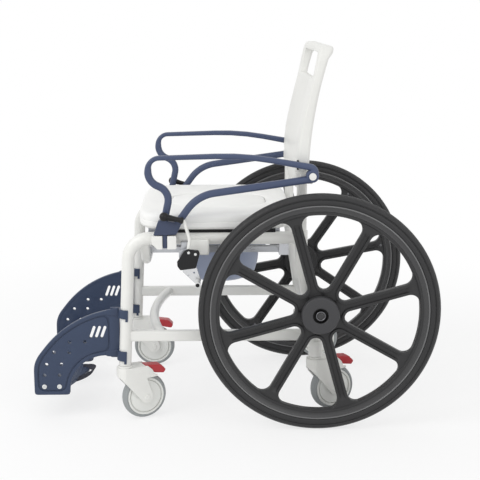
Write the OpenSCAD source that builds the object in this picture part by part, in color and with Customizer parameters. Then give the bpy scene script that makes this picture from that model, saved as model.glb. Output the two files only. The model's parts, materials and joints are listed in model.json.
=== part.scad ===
// Self-propelled shower commode chair with swing-up armrests, swing-away footrests,
// a slide-out pan, quick-release drive wheels and four braked casters.
// Millimetres. The chair faces -Y, +X is the user's left, +Z is up.
// Each module draws its piece with Y measured from the drive axle and Z from the floor,
// on the left side where there is a pair. place() puts the origin under the chair's middle.

/* [Drive wheels] */
// Outer diameter of the drive tyres
wheel_d = 610; // [560:5:640]
// Distance between the mid-planes of the drive wheels
track = 600; // [596:2:640]
// Width of a tyre
tyre_w = 30; // [24:1:32]
// Radial height of a tyre
tyre_h = 22; // [18:1:26]
// Radial height of the rim band
rim_h = 31; // [26:1:36]
// Number of spokes
spokes = 8; // [6:1:9]
// Width of a spoke
spoke_w = 27; // [20:1:32]
// Thickness of a spoke
spoke_t = 18; // [12:1:22]
// Fillet between spoke and rim
rim_fillet = 24; // [12:1:30]
// Radius of a window's round inner end, between two spokes
hub_fillet = 17.2; // [12:0.1:20]
// Angle of a spoke of the left wheel above the rearward line
left_spoke_angle = 15.4; // [0:0.1:45]
// Angle of a spoke of the right wheel above the rearward line
right_spoke_angle = 10.5; // [0:0.1:45]
// Diameter of a hub cap
hub_cap_d = 95; // [80:1:110]
// Thickness of a hub cap
hub_cap_t = 10; // [8:1:14]
// Diameter of the recess in the hub cap
cap_recess_d = 38; // [32:1:44]
// Diameter of the quick-release axle
axle_d = 12.7; // [11:0.1:14]
// Outer diameter of the wheel bearings
bearing_d = 32; // [28:1:36]
// Diameter of the release button
button_d = 25; // [18:1:28]
// Travel of the release button
button_travel = 4; // [2:0.5:4]

/* [Frame] */
// Distance of each side frame from the middle of the chair
frame_x = 228; // [215:1:236]
// Diameter of the side frame tubes
tube_d = 32; // [28:1:34]
// Height of the middle of the seat rail
rail_z = 484; // [460:1:520]
// Bend radius between front leg and seat rail
leg_bend_r = 55; // [40:1:80]
// Place of the front leg's lower end ahead of the axle
leg_foot_y = 496; // [480:1:520]
// How far the front leg leans back at the seat rail
leg_lean = 16; // [0:1:30]
// Place of the back post ahead of the axle
post_y = 43; // [38:1:50]
// Diameter of the back post
post_d = 26; // [22:1:27]
// Height of the rear leg's bend
rear_bend_z = 440; // [420:1:455]
// Bend radius of the rear leg
rear_bend_r = 120; // [80:5:160]
// Outer diameter of the axle sleeve
sleeve_d = 30; // [26:1:36]
// Height of the middle of the lower side rail
low_rail_z = 228; // [210:1:245]
// Height of the lower side rail's section
low_rail_h = 28; // [22:1:34]
// Width of the lower side rail's section
low_rail_w = 20; // [16:1:26]
// Diameter of the cross tubes
cross_d = 25; // [20:1:28]
// Height of the dropped front cross tube
drop_z = 415; // [400:1:430]
// Half length of the level part of the front cross tube
drop_half = 172; // [160:1:180]
// Bend radius of the front cross tube
drop_r = 40; // [30:1:50]
// Place of the front cross tube ahead of the axle
drop_y = 440; // [425:1:450]
// Place of the lower cross tube's ends ahead of the axle
low_cross_y = 400; // [370:1:420]
// How far the lower cross tube bows forward
low_cross_bow = 30; // [15:1:40]
// Height of the rear cross tube
rear_cross_z = 255; // [245:1:280]

/* [Casters] */
// Diameter of the caster wheels
caster_d = 120; // [100:1:126]
// Width of a caster tyre
caster_w = 32; // [26:1:34]
// Radial height of a caster tyre
caster_tyre_h = 10; // [8:1:16]
// Distance of a caster's wheel behind its stem
trail = 50; // [42:1:54]
// Height of the top of a front caster's fork
fork_top = 150; // [146:1:156]
// Height of the rear casters above the floor
rear_lift = 21; // [10:1:26]
// Place of the rear stem ahead of the axle
rear_stem_y = 3; // [0:1:6]
// Thickness of a fork cheek
cheek_t = 5; // [4:0.5:7]
// Diameter of a caster stem
stem_d = 14; // [10:1:16]
// Swivel of the left front caster at rest, inwards
swivel_front_left = 26; // [0:1:40]
// Swivel of the left rear caster at rest, inwards
swivel_rear_left = 23; // [0:1:40]
// Width of a brake pedal
pedal_w = 30; // [24:1:32]

/* [Backrest and seat] */
// Height of the lower edge of the backrest
back_bottom = 650; // [640:1:670]
// Height of the top of the push handle
back_top = 963; // [900:1:1000]
// Half width of the backrest
back_half_w = 245; // [242:1:246]
// Thickness of the backrest
back_t = 32; // [30:1:36]
// How far the backrest leans back in a straight line
back_lean = 7; // [0:1:20]
// How far the top of the backrest curls back
back_curl = 48; // [20:1:60]
// Depth of the dish in the backrest's front
dish_depth = 14; // [6:1:16]
// Half width of the dish
dish_half_w = 190; // [160:1:200]
// Height of the handle slot
slot_h = 52; // [40:1:60]
// Half length of the handle slot
slot_half = 185; // [150:1:195]
// Height of the handle bar above the slot
handle_h = 19; // [15:1:24]
// How far the handle bar stands out at the back
handle_lip = 12; // [4:1:18]
// Half width of the seat
seat_half_w = 238; // [230:1:244]
// Front edge of the seat ahead of the axle
seat_front = 458; // [445:1:470]
// Rear edge of the seat ahead of the axle
seat_rear = 64; // [62:1:80]
// Thickness of the seat at its crown
seat_t = 43; // [36:1:55]
// Thickness of the rubber strips under the seat
strip_t = 7; // [5:1:10]
// Half width of the hygiene opening
hole_half_w = 100; // [85:1:110]
// Half length of the hygiene opening
hole_half_l = 122; // [110:1:130]
// Thickness of the seat cover's rim
cover_t = 12; // [9:1:15]

/* [Pan] */
// Place of the pan's middle ahead of the axle
pan_y = 252; // [240:1:262]
// Outer diameter of the bowl at its rim
pan_d = 226; // [200:1:236]
// Outer depth of the bowl
pan_h = 101; // [90:1:125]
// Wall of the pan
pan_wall = 3; // [2:0.5:4]
// Half width of the pan's flange
flange_half = 137; // [128:1:145]
// Half length of the pan's flange
flange_len = 126; // [122:1:135]
// Thickness of the pan's flange
flange_t = 4; // [3:0.5:5]
// Sheet thickness of the runners
runner_t = 2.5; // [2:0.5:3.5]

/* [Armrests] */
// Distance of an armrest from the middle of the chair
arm_x = 262.5; // [261.5:0.5:266]
// Height of an armrest bar's section
arm_h = 19; // [16:1:22]
// Width of an armrest bar's section
arm_w = 20; // [16:1:21]
// Place of the armrest pivot ahead of the axle
arm_pivot_y = 20; // [16:1:24]
// Height of the armrest pivot
arm_pivot_z = 647; // [640:1:655]
// Diameter of the armrest pivot bolt
arm_bolt_d = 12; // [9:1:14]
// Diameter of the pivot bolt's head
arm_head_d = 18; // [15:1:22]
// Height of the armrest's upper front corner
arm_top_z = 701; // [690:1:715]
// Place of the armrest's front ahead of the axle
arm_front = 427; // [415:1:440]

/* [Wheel locks] */
// Thickness of a lock plate
lock_plate_t = 6; // [4:1:6]
// Diameter of the lock's pivot pins
lock_pin_d = 8; // [6:1:9]
// Diameter of the lever's grip
grip_d = 15; // [12:1:20]
// Length of the lever's grip
grip_l = 60; // [50:1:75]
// Diameter of the peg that presses on the tyre
peg_d = 14; // [10:1:18]
// Gap between peg and tyre with the lock open
peg_gap = 3; // [2.5:0.5:5]

/* [Footrests] */
// Reach of the footrests ahead of the axle
foot_reach = 735; // [715:1:745]
// Height of the footrest panels above the floor
foot_z = 64; // [58:1:70]
// Radius of a panel's upper edge
panel_r = 273; // [265:1:280]
// Length of a panel's lower front part
panel_front_w = 93; // [85:1:100]
// Thickness of a panel
panel_t = 8; // [6:1:10]
// Height of a panel's raised border
border_t = 3; // [2:0.5:4]
// Width of a panel's raised border
border_w = 11; // [7:1:14]
// Diameter of the adjustment holes
adjust_d = 8.5; // [6.5:0.5:9]
// Distance between the holes of a pair
adjust_pitch = 39; // [34:1:40]
// Thickness of a footplate
footplate_t = 10; // [8:1:12]
// Width of a footplate
footplate_w = 165; // [140:1:170]
// Width of a heel strap
strap_w = 40; // [30:1:50]
// Thickness of a heel strap
strap_t = 3; // [2:0.5:4]

/* [Hidden] */
$fn = 64;

// Radial clearance of a pin in its bore, and gap between pieces that move past each other
run = 0.05;
gap = 0.5;
// Length added to a cutting shape so that it passes a face
over = 1;
// How far a bar's straight runs into its bend, and how much thicker the bend is on each side
lap = 0.6;
hair = 0.05;

white = [0.90, 0.90, 0.88];
navy = [0.22, 0.27, 0.38];
blue = [0.30, 0.35, 0.52];
charcoal = [0.20, 0.20, 0.21];
black = [0.09, 0.09, 0.09];
steel = [0.74, 0.75, 0.76];
pan_grey = [0.50, 0.55, 0.66];
caster_grey = [0.62, 0.64, 0.66];
red = [0.75, 0.25, 0.27];

wheel_r = wheel_d / 2;
wheel_x = track / 2;
tyre_seat_r = wheel_r - tyre_h;
rim_in_r = tyre_seat_r - rim_h;
rim_half_w = tyre_w / 2 - 2;
// How far a fillet cuts into the edges that it joins
bite = 0.3;
// Distance from the axle to the middle of a window's round inner end
window_end = (hub_fillet + spoke_w / 2) / sin(180 / spokes);
hub_in = -tyre_w / 2 - 1;
hub_out = tyre_w / 2 + 5;
// Drawn sizes are ahead of the axle, which is -Y
front_foot = [-leg_foot_y, fork_top];
front_corner = [-leg_foot_y + leg_lean, rail_z];
leg_angle = atan2(front_corner[0] - front_foot[0], front_corner[1] - front_foot[1]);
rear_foot = [-rear_stem_y + 2, fork_top + rear_lift];
rear_top_z = rail_z + tube_d / 2 + 2;
post_socket = 40;
post_top = back_bottom + 45;
caster_r = caster_d / 2;
cheek_in = caster_w / 2 + 3;
cheek_out = cheek_in + cheek_t;
fork_crown_z = fork_top - 5;
caster_bolt_d = 10;
stem_h = 13;
pedal_pivot = [trail - 18, fork_top - 16];
pedal_pin_d = 6;
seat_z = rail_z + tube_d / 2 + strip_t;
seat_mid_y = -(seat_front + seat_rear) / 2;
seat_half_l = (seat_front - seat_rear) / 2;
runner_z = drop_z + cross_d / 2;
runner_h = 15;
flange_z = runner_z + runner_t + (runner_h - 2 * runner_t - flange_t) / 2;
arm_pivot = [-arm_pivot_y, arm_pivot_z];
arm_boss_w = arm_w + 2;
// Corners of the block under the armrest's front, from the armrest's front and the rail's middle
arm_foot = [for (p = [[11, 15], [25, 55], [83, 46], [69, 18]]) [p[0] - arm_front, p[1] + rail_z]];
socket_top = arm_foot[0][1] - gap;
lock_x = arm_x - 4.5;
// Where the peg stands on the tyre, above the rearward line
peg_angle = 166;
peg_reach = wheel_r + peg_gap + peg_d / 2;
peg_at = [peg_reach * cos(peg_angle), wheel_r + peg_reach * sin(peg_angle)];
shoe_pivot = peg_at + [-16, 42.5];
lever_pivot = peg_at + [-25, 65.5];
panel_x = frame_x - 19;
panel_back = -leg_foot_y - 18;
panel_l = foot_reach + panel_back;
// Upper corners of a panel, and the middle of the arc of radius panel_r between them
panel_front_top = [-foot_reach, foot_z + 80.5];
panel_back_top = [panel_back, foot_z + 232];
panel_chord = panel_back_top - panel_front_top;
panel_mid = panel_front_top + panel_chord / 2
  + sqrt(panel_r * panel_r / (panel_chord * panel_chord) - 0.25) * [panel_chord[1], -panel_chord[0]];
// The cut leaves room for a caster that swings round, behind the panel's front part
// and rises from the panel's foot to its lower back corner
panel_cut_l = panel_l - panel_front_w;
panel_cut_h = 90.5;
panel_cut_r = (panel_cut_l * panel_cut_l + panel_cut_h * panel_cut_h) / (2 * panel_cut_l);
panel_cut_mid = [-foot_reach + panel_front_w + panel_cut_r, foot_z + 11];
hinge_pin_d = 7;
hinge_barrel_d = 14;
flap_x = panel_x - 13;
flap_z = foot_z + 16;
flap_front = -foot_reach + 6;
flap_rear = -foot_reach + 126;
flap_neck = [-foot_reach + 17, -foot_reach + 72];
// Rows of adjustment holes, from the bolted one up, as places from the panel's lower front
hole_rows = [[0, 23], [1, 54], [7, 83], [28, 116], [69, 144]];
hole_front = adjust_pitch / 2 + 26.5;
hole_spread = (panel_l - 77.5) / 143.5;
function hole_at(k, s) = [
  -foot_reach + hole_front + hole_rows[k][0] * hole_spread + s * adjust_pitch / 2,
  foot_z + hole_rows[k][1]
];

function heading(a, b) = atan2(b[1] - a[1], b[0] - a[0]);
function wrapped(a) = a > 180 ? a - 360 : a < -180 ? a + 360 : a;
function bend(p, i) = wrapped(heading(p[i], p[i + 1]) - heading(p[i - 1], p[i]));
function inner(p, i) = i > 0 && i < len(p) - 1;
function setback(p, r, i) = inner(p, i) ? r[i] * tan(abs(bend(p, i)) / 2) : 0;

// Moves a piece from axle coordinates to the part's own frame
module place() {
  translate([0, (foot_reach - wheel_r) / 2, 0]) children();
}

module right() {
  mirror([1, 0, 0]) children();
}

// Stands a flat drawing of (Y, Z) upright at a distance x from the chair's middle
module side_plane(x) {
  translate([x, 0, 0]) rotate([90, 0, 90]) children();
}

// Section of a bar: h lies in the plane of its bends and w across it
module bar_section(h, w) {
  d = min(h, w);
  if (h == w) {
    circle(d = d);
  } else {
    square([h > w ? h - w : h, h > w ? w : w - h], center = true);
    for (s = [-1, 1]) translate(s * [h - d, w - d] / 2) circle(d = d);
  }
}

// Bar along corner points p in a plane, rounded at each inner corner by its radius in r.
// The straights run a little way into the bends, which are thicker by a hair.
module bent_bar(p, r, h, w) {
  for (i = [0 : len(p) - 2]) {
    a = heading(p[i], p[i + 1]);
    start = setback(p, r, i) - (inner(p, i) ? lap : 0);
    end = setback(p, r, i + 1) - (inner(p, i + 1) ? lap : 0);
    translate([p[i][0], p[i][1], 0]) rotate([0, 0, a]) translate([start, 0, 0])
      rotate([90, 0, 90]) linear_extrude(norm(p[i + 1] - p[i]) - start - end) bar_section(h, w);
  }
  for (i = [1 : 1 : len(p) - 2]) {
    a = heading(p[i - 1], p[i]);
    t = bend(p, i);
    side = t > 0 ? 1 : -1;
    back_off = setback(p, r, i);
    c = p[i] - back_off * [cos(a), sin(a)] + side * r[i] * [-sin(a), cos(a)];
    translate([c[0], c[1], 0]) rotate([0, 0, t > 0 ? a - 90 : a + 90 + t])
      rotate_extrude(angle = abs(t)) translate([r[i], 0]) bar_section(h + 2 * hair, w + 2 * hair);
  }
}

module rounded_rect(w, h, r) {
  square([w - 2 * r, h], center = true);
  square([w, h - 2 * r], center = true);
  for (sx = [-1, 1], sy = [-1, 1]) {
    translate([sx * (w / 2 - r), sy * (h / 2 - r)]) circle(r);
  }
}

module obround(l, d) {
  square([l - d, d], center = true);
  for (s = [-1, 1]) translate([s * (l - d) / 2, 0]) circle(d = d);
}

// Frame

module leg_rail_bar() {
  below = front_foot - 3 * [tan(leg_angle), 1];
  side_plane(frame_x)
    bent_bar([below, front_corner, [-post_y, rail_z]], [0, leg_bend_r, 0], tube_d, tube_d);
}

module rear_leg_bar() {
  d = rear_foot - [-post_y, rear_bend_z];
  below = rear_foot + 3 * d / norm(d);
  side_plane(frame_x)
    bent_bar([[-post_y, rear_top_z], [-post_y, rear_bend_z], below], [0, rear_bend_r, 0], tube_d, tube_d);
}

module below_cut(z) {
  translate([0, -frame_x, z - 100]) cube([4 * frame_x, 6 * frame_x, 200], center = true);
}

module stem_bore(y, z) {
  translate([frame_x, y, z - over]) cylinder(d = stem_d + 2 * run, h = stem_h + 4 + over);
}

module seat_rail() {
  color(white) difference() {
    leg_rail_bar();
    rear_leg_bar();
    below_cut(fork_top);
    stem_bore(-leg_foot_y + 1, fork_top);
  }
}

module rear_leg() {
  color(white) difference() {
    union() {
      rear_leg_bar();
      side_plane(frame_x - tube_d / 2) translate([0, wheel_r, 0])
        cylinder(d = sleeve_d, h = wheel_x + hub_in - gap - frame_x + tube_d / 2);
      translate([frame_x, -rear_stem_y, rear_foot[1]]) cylinder(d = tube_d + 4, h = 42);
    }
    below_cut(rear_foot[1]);
    stem_bore(-rear_stem_y, rear_foot[1]);
    side_plane(frame_x - tube_d) translate([0, wheel_r, 0]) cylinder(d = axle_d + 2 * run, h = wheel_x);
    translate([frame_x, -post_y, rear_top_z - post_socket]) cylinder(d = post_d, h = post_socket + over);
  }
}

module lower_rail() {
  front = -leg_foot_y;
  color(white) difference() {
    translate([frame_x, front, low_rail_z]) rotate([-90, 0, 0])
      linear_extrude(leg_foot_y) rounded_rect(low_rail_w, low_rail_h, 5);
    leg_rail_bar();
    rear_leg_bar();
  }
}

module front_cross_tube() {
  end = [frame_x - 2, rail_z - 1];
  p = [[-end[0], end[1]], [-drop_half, drop_z], [drop_half, drop_z], end];
  color(white) difference() {
    translate([0, -drop_y, 0]) rotate([90, 0, 0]) bent_bar(p, [0, drop_r, drop_r, 0], cross_d, cross_d);
    leg_rail_bar();
    right() leg_rail_bar();
  }
}

module lower_cross_tube() {
  half = frame_x - low_rail_w / 2;
  r = (half * half + low_cross_bow * low_cross_bow) / (2 * low_cross_bow);
  sweep = 2 * asin(half / r) + 4;
  color(white) intersection() {
    translate([0, -low_cross_y - low_cross_bow + r, low_rail_z])
      rotate([0, 0, -90 - sweep / 2]) rotate_extrude(angle = sweep, $fn = 360)
        translate([r, 0]) circle(d = cross_d);
    cube([2 * half, 4 * frame_x, 4 * frame_x], center = true);
  }
}

module rear_cross_tube() {
  y = -post_y + (rear_bend_z - rear_cross_z) * (rear_foot[0] + post_y) / (rear_bend_z - rear_foot[1]);
  color(white) difference() {
    side_plane(-frame_x) translate([y, rear_cross_z, 0]) cylinder(d = cross_d, h = 2 * frame_x);
    rear_leg_bar();
    right() rear_leg_bar();
  }
}

module back_posts() {
  bottom = rear_top_z - post_socket;
  color(white) for (s = [-1, 1]) {
    translate([s * frame_x, -post_y, bottom]) cylinder(d = post_d, h = post_top - bottom);
  }
}

// Backrest

function back_mid_y(t) = -post_y + back_lean * t + back_curl * t * t;
function back_z(t) = back_bottom + (back_top - back_bottom) * t;

module back_profile() {
  steps = 14;
  lip_t = 1 - handle_h / (back_top - back_bottom);
  front = [for (i = [0 : steps]) [back_mid_y(i / steps) - back_t / 2, back_z(i / steps)]];
  rear = [
    for (i = [steps : -1 : 0])
      let (t = lip_t * i / steps)
      [back_mid_y(t) + back_t / 2, back_z(t)]
  ];
  lip = [[rear[0][0] + handle_lip, back_top - handle_h * 0.7], [rear[0][0] + handle_lip, back_top - 4],
    [rear[0][0] + handle_lip - 4, back_top]];
  polygon(concat(front, [for (i = [2 : -1 : 0]) lip[i]], rear));
}

module back_shell() {
  mid_z = (back_top + back_bottom) / 2;
  height = back_top - back_bottom;
  slot_z = back_top - handle_h - slot_h / 2;
  lean = atan2(back_lean + back_curl, height);
  dish_r = (dish_half_w * dish_half_w + dish_depth * dish_depth) / (2 * dish_depth);
  reach = dish_r - dish_depth;
  front_y = back_mid_y(0.5) - back_t / 2;
  color(white) difference() {
    intersection() {
      side_plane(-back_half_w) linear_extrude(2 * back_half_w) back_profile();
      translate([0, back_t * 4, mid_z]) rotate([90, 0, 0])
        linear_extrude(back_t * 8) rounded_rect(2 * back_half_w, height, 34);
    }
    translate([0, back_t * 4, slot_z]) rotate([90, 0, 0])
      linear_extrude(back_t * 8) obround(2 * slot_half, slot_h);
    translate([0, front_y - reach * cos(lean), mid_z + reach * sin(lean)]) rotate([-lean, 0, 0])
      cylinder(r = dish_r, h = 2 * height, center = true, $fn = 720);
    for (s = [-1, 1]) {
      translate([s * frame_x, -post_y, back_bottom - over])
        cylinder(d = post_d, h = post_top - back_bottom + over);
    }
  }
}

// Seat

// Rounded outline of half sizes a and b, squarer as n grows
function superellipse(a, b, n, u) = [
  a * sign(cos(u)) * pow(abs(cos(u)), 2 / n),
  b * sign(sin(u)) * pow(abs(sin(u)), 2 / n)
];
// Outline between the hygiene opening (s = 0) and the seat's edge (s = 1), drawn in by d
function seat_ring(u, s, d) =
  let (hole = superellipse(hole_half_w, hole_half_l, 2.4, u) - [0, pan_y])
  let (edge = superellipse(seat_half_w, seat_half_l, 6, u) + [0, seat_mid_y])
  let (p = hole * (1 - s) + edge * s)
  let (out = p + [0, pan_y])
  p - out * d / norm(out);

seat_steps = 48;
rebate_s = 0.1;
// Section of the seat from the opening's lower edge, outwards and back over the top: [s, height]
seat_section = [
  [0, 0.06], [0.03, 0], [0.96, 0], [0.995, 0.16], [0.988, 0.45], [1, 0.72], [0.97, 0.92], [0.86, 0.99],
  [0.62, 1], [0.36, 0.95], [rebate_s + 0.03, 0.88], [rebate_s, 0.84], [rebate_s, -1], [0, -1]
];

function seat_height(v) = v < 0 ? seat_z + 0.84 * seat_t - cover_t : seat_z + v * seat_t;

// Closed ring of rows of points: joins each row to the next, and the last to the first
function ring_faces(rows, cols) = [
  for (i = [0 : rows - 1], j = [0 : cols - 1])
    let (a = i * cols + j)
    let (b = i * cols + (j + 1) % cols)
    let (c = ((i + 1) % rows) * cols + (j + 1) % cols)
    let (d = ((i + 1) % rows) * cols + j)
    each [[a, d, c], [a, c, b]]
];

module seat() {
  n = len(seat_section);
  points = [
    for (i = [0 : seat_steps - 1], j = [0 : n - 1])
      let (p = seat_ring(360 * i / seat_steps, seat_section[j][0], 0))
      [p[0], p[1], seat_height(seat_section[j][1])]
  ];
  color(white) polyhedron(points, ring_faces(seat_steps, n));
}

// Cover that drops into the seat's rebate: a crowned lid over a shallow plug
module seat_cover() {
  rim_z = seat_z + 0.84 * seat_t;
  base_z = rim_z - cover_t + gap;
  play = 1.5;
  // [share of the rim's outline, outline s, height]
  rows = [
    [0.5, 0, base_z - 7], [1, 0, base_z - 7], [1, 0, base_z], [1, rebate_s, base_z],
    [1, rebate_s, rim_z - 3], [0.96, rebate_s, rim_z], [0.75, rebate_s, rim_z + 3],
    [0.4, rebate_s, rim_z + 5]
  ];
  n = len(rows);
  points = concat(
    [for (r = rows, i = [0 : seat_steps - 1])
      let (p = seat_ring(360 * i / seat_steps, r[1], play) + [0, pan_y])
      [p[0] * r[0], p[1] * r[0] - pan_y, r[2]]],
    [[0, -pan_y, rows[0][2]], [0, -pan_y, rows[n - 1][2] + 1]]
  );
  low = n * seat_steps;
  faces = concat(
    [for (k = [0 : n - 2], i = [0 : seat_steps - 1])
      let (a = k * seat_steps + i)
      let (b = k * seat_steps + (i + 1) % seat_steps)
      each [[a, b + seat_steps, b], [a, a + seat_steps, b + seat_steps]]],
    [for (i = [0 : seat_steps - 1]) [low, i, (i + 1) % seat_steps]],
    [for (i = [0 : seat_steps - 1])
      [low + 1, (n - 1) * seat_steps + (i + 1) % seat_steps, (n - 1) * seat_steps + i]]
  );
  color(white) polyhedron(points, faces);
}

module seat_strips() {
  strip_w = 16;
  strip_l = seat_front - seat_rear - 90;
  color(black) difference() {
    for (s = [-1, 1]) {
      translate([s * (frame_x - 3) - strip_w / 2, -seat_front + 45, rail_z])
        cube([strip_w, strip_l, seat_z - rail_z]);
    }
    leg_rail_bar();
    right() leg_rail_bar();
  }
}

// Pan

module pan() {
  r = pan_d / 2;
  floor_z = flange_z - pan_h;
  floor_r = r * 0.62;
  color(pan_grey) union() {
    translate([0, -pan_y, 0]) rotate_extrude($fn = 96) difference() {
      polygon([[0, floor_z], [floor_r, floor_z], [r * 0.8, floor_z + 9], [r * 0.9, floor_z + 24],
        [r * 0.95, floor_z + 44], [r, flange_z], [r, flange_z + flange_t], [0, flange_z + flange_t]]);
      polygon([[0, floor_z + pan_wall], [floor_r, floor_z + pan_wall], [r * 0.8 - pan_wall, floor_z + 12],
        [r * 0.9 - pan_wall, floor_z + 26], [r * 0.95 - pan_wall, floor_z + 45], [r - pan_wall, flange_z],
        [r - pan_wall, flange_z + flange_t + over], [0, flange_z + flange_t + over]]);
    }
    translate([0, -pan_y, flange_z]) linear_extrude(flange_t) difference() {
      rounded_rect(2 * flange_half, 2 * flange_len, 14);
      circle(r - pan_wall / 2);
    }
    translate([-45, flange_len - pan_y - 6, flange_z - 16]) cube([90, 6, 16]);
  }
}

module runner() {
  inner_x = flange_half - 17;
  web_x = flange_half + 2;
  front = -drop_y - cross_d / 2;
  length = drop_y + cross_d / 2 - 75;
  depth = web_x + runner_t - inner_x;
  translate([0, front, runner_z]) rotate([-90, 0, 0]) mirror([0, 1, 0]) linear_extrude(length) {
    translate([inner_x, 0]) square([depth, runner_t]);
    translate([web_x, 0]) square([runner_t, runner_h]);
    translate([inner_x, runner_h - runner_t]) square([depth, runner_t]);
  }
  difference() {
    union() {
      translate([web_x, front + length - 24, runner_z + runner_h - runner_t])
        cube([frame_x + 3 - web_x, 24, runner_t]);
      translate([frame_x - 3, front + length - 24, runner_z + runner_h - runner_t])
        cube([6, 24, rail_z - runner_z - runner_h]);
    }
    leg_rail_bar();
  }
}

module pan_runners() {
  color(steel) {
    runner();
    right() runner();
  }
}

// Drive wheels, drawn flat with local Z along the axle, outwards, and placed by at_axle()

module at_axle() {
  side_plane(wheel_x) translate([0, wheel_r, 0]) children();
}

// Patch that rounds the corner between a spoke's edge and the rim
module rim_corner() {
  w = spoke_w / 2;
  reach = rim_in_r - rim_fillet + bite;
  root = rim_in_r + 1.5;
  c = [sqrt(reach * reach - (w + rim_fillet - bite) * (w + rim_fillet - bite)), w + rim_fillet - bite];
  difference() {
    polygon([[sqrt(root * root - w * w), w - 1], [c[0], w - 1], c, c * root / reach]);
    translate(c) circle(rim_fillet);
  }
}

module spoke_outline() {
  translate([0, -spoke_w / 2]) square([rim_in_r + 2, spoke_w]);
  for (m = [0, 1]) mirror([0, m]) rim_corner();
}

// Web between the spokes, scalloped by the round inner ends of the windows
module hub_web() {
  difference() {
    circle(norm([window_end * cos(180 / spokes), spoke_w / 2]));
    for (k = [0 : spokes - 1]) rotate(360 * (k + 0.5) / spokes)
      translate([window_end, 0]) circle(hub_fillet + bite);
  }
}

// Grooves that leave a middle rib and two edge ribs on a spoke's face
module spoke_grooves() {
  from = window_end - hub_fillet + 8;
  length = rim_in_r - from - 14;
  groove_w = spoke_w * 0.22;
  groove_depth = 4;
  for (s = [-1, 1]) {
    translate([from, s * groove_w - groove_w / 2, spoke_t / 2 - groove_depth])
      cube([length, groove_w, groove_depth + over]);
  }
}

module wheel(spoke_angle) {
  w = rim_half_w;
  lip = 2.5;
  color(charcoal) at_axle() difference() {
    union() {
      rotate_extrude($fn = 120) polygon([
        [rim_in_r, -w + 3], [rim_in_r + 5, -w], [tyre_seat_r, -w], [tyre_seat_r, w],
        [rim_in_r + 20, w], [rim_in_r + 17, w - lip], [rim_in_r + 11, w - lip],
        [rim_in_r + 8, w], [rim_in_r + 4, w], [rim_in_r, w - 3]
      ]);
      translate([0, 0, hub_in]) cylinder(d = bearing_d + 30, h = hub_out - hub_in);
      cylinder(d = hub_cap_d - 3, h = hub_out);
      rotate([0, 0, spoke_angle]) translate([0, 0, -spoke_t / 2]) linear_extrude(spoke_t) {
        hub_web();
        for (k = [0 : spokes - 1]) rotate(360 * k / spokes) spoke_outline();
      }
    }
    translate([0, 0, hub_in - over]) cylinder(d = bearing_d, h = hub_out - hub_in + 2 * over);
    for (k = [0 : spokes - 1]) rotate([0, 0, spoke_angle + 360 * k / spokes]) {
      spoke_grooves();
      mirror([0, 0, 1]) spoke_grooves();
    }
  }
}

module tyre() {
  crown_r = tyre_w * 0.6;
  color(black) at_axle() rotate_extrude($fn = 120) intersection() {
    translate([tyre_seat_r, -tyre_w / 2]) square([tyre_h, tyre_w]);
    translate([wheel_r - crown_r, 0]) circle(crown_r);
  }
}

module hub_cap() {
  r = hub_cap_d / 2;
  hole = cap_recess_d / 2;
  edge = 4;
  color(charcoal) at_axle() translate([0, 0, hub_out]) rotate_extrude($fn = 96) polygon([
    [hole, 0], [r, 0], [r, hub_cap_t - edge], [r - edge, hub_cap_t],
    [hole + edge / 2, hub_cap_t], [hole, hub_cap_t - edge / 2]
  ]);
}

module bearings() {
  color(steel) at_axle() difference() {
    translate([0, 0, hub_in]) cylinder(d = bearing_d, h = hub_out - hub_in - 2);
    translate([0, 0, hub_in - over]) cylinder(d = axle_d + 2 * run, h = hub_out - hub_in + 2 * over);
  }
}

button_stem_d = 6;
button_stem_l = 20;

module axle() {
  inner_end = frame_x - tube_d / 2 - wheel_x;
  outer_end = hub_out - 2;
  color(steel) at_axle() difference() {
    union() {
      translate([0, 0, inner_end - 8]) cylinder(d = axle_d, h = outer_end - inner_end + 8);
      translate([0, 0, inner_end - 6]) cylinder(d = axle_d + 9, h = 6);
    }
    translate([0, 0, outer_end - button_stem_l])
      cylinder(d = button_stem_d + 2 * run, h = button_stem_l + over);
  }
}

module release_button() {
  face = hub_out + button_travel + 1;
  color(black) at_axle() {
    translate([0, 0, face]) cylinder(d = button_d, h = hub_out + hub_cap_t - 1 - face);
    translate([0, 0, face - button_stem_l + button_travel + 1])
      cylinder(d = button_stem_d, h = button_stem_l - button_travel);
  }
}

// Casters, drawn with the stem on the Z axis and the wheel trailing along +Y

module caster_at(y, lift, swivel) {
  translate([frame_x, y, lift]) rotate([0, 0, swivel]) children();
}

module at_caster_axle() {
  translate([0, trail, caster_r]) rotate([0, 90, 0]) children();
}

module fork_cheek_outline() {
  end_r = caster_bolt_d / 2 + 12;
  front = -10;
  rear = pedal_pivot[0] + 26;
  polygon([
    [front, fork_crown_z], [rear - 3, fork_crown_z], [rear, fork_crown_z - 5],
    [rear, caster_d + 14], [rear - 15, caster_d - 6],
    [trail + end_r * 0.95, caster_r + end_r * 0.3],
    [trail - end_r * 0.77, caster_r - end_r * 0.64], [front, caster_d - 6]
  ]);
  translate([trail, caster_r]) circle(end_r);
}

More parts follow.
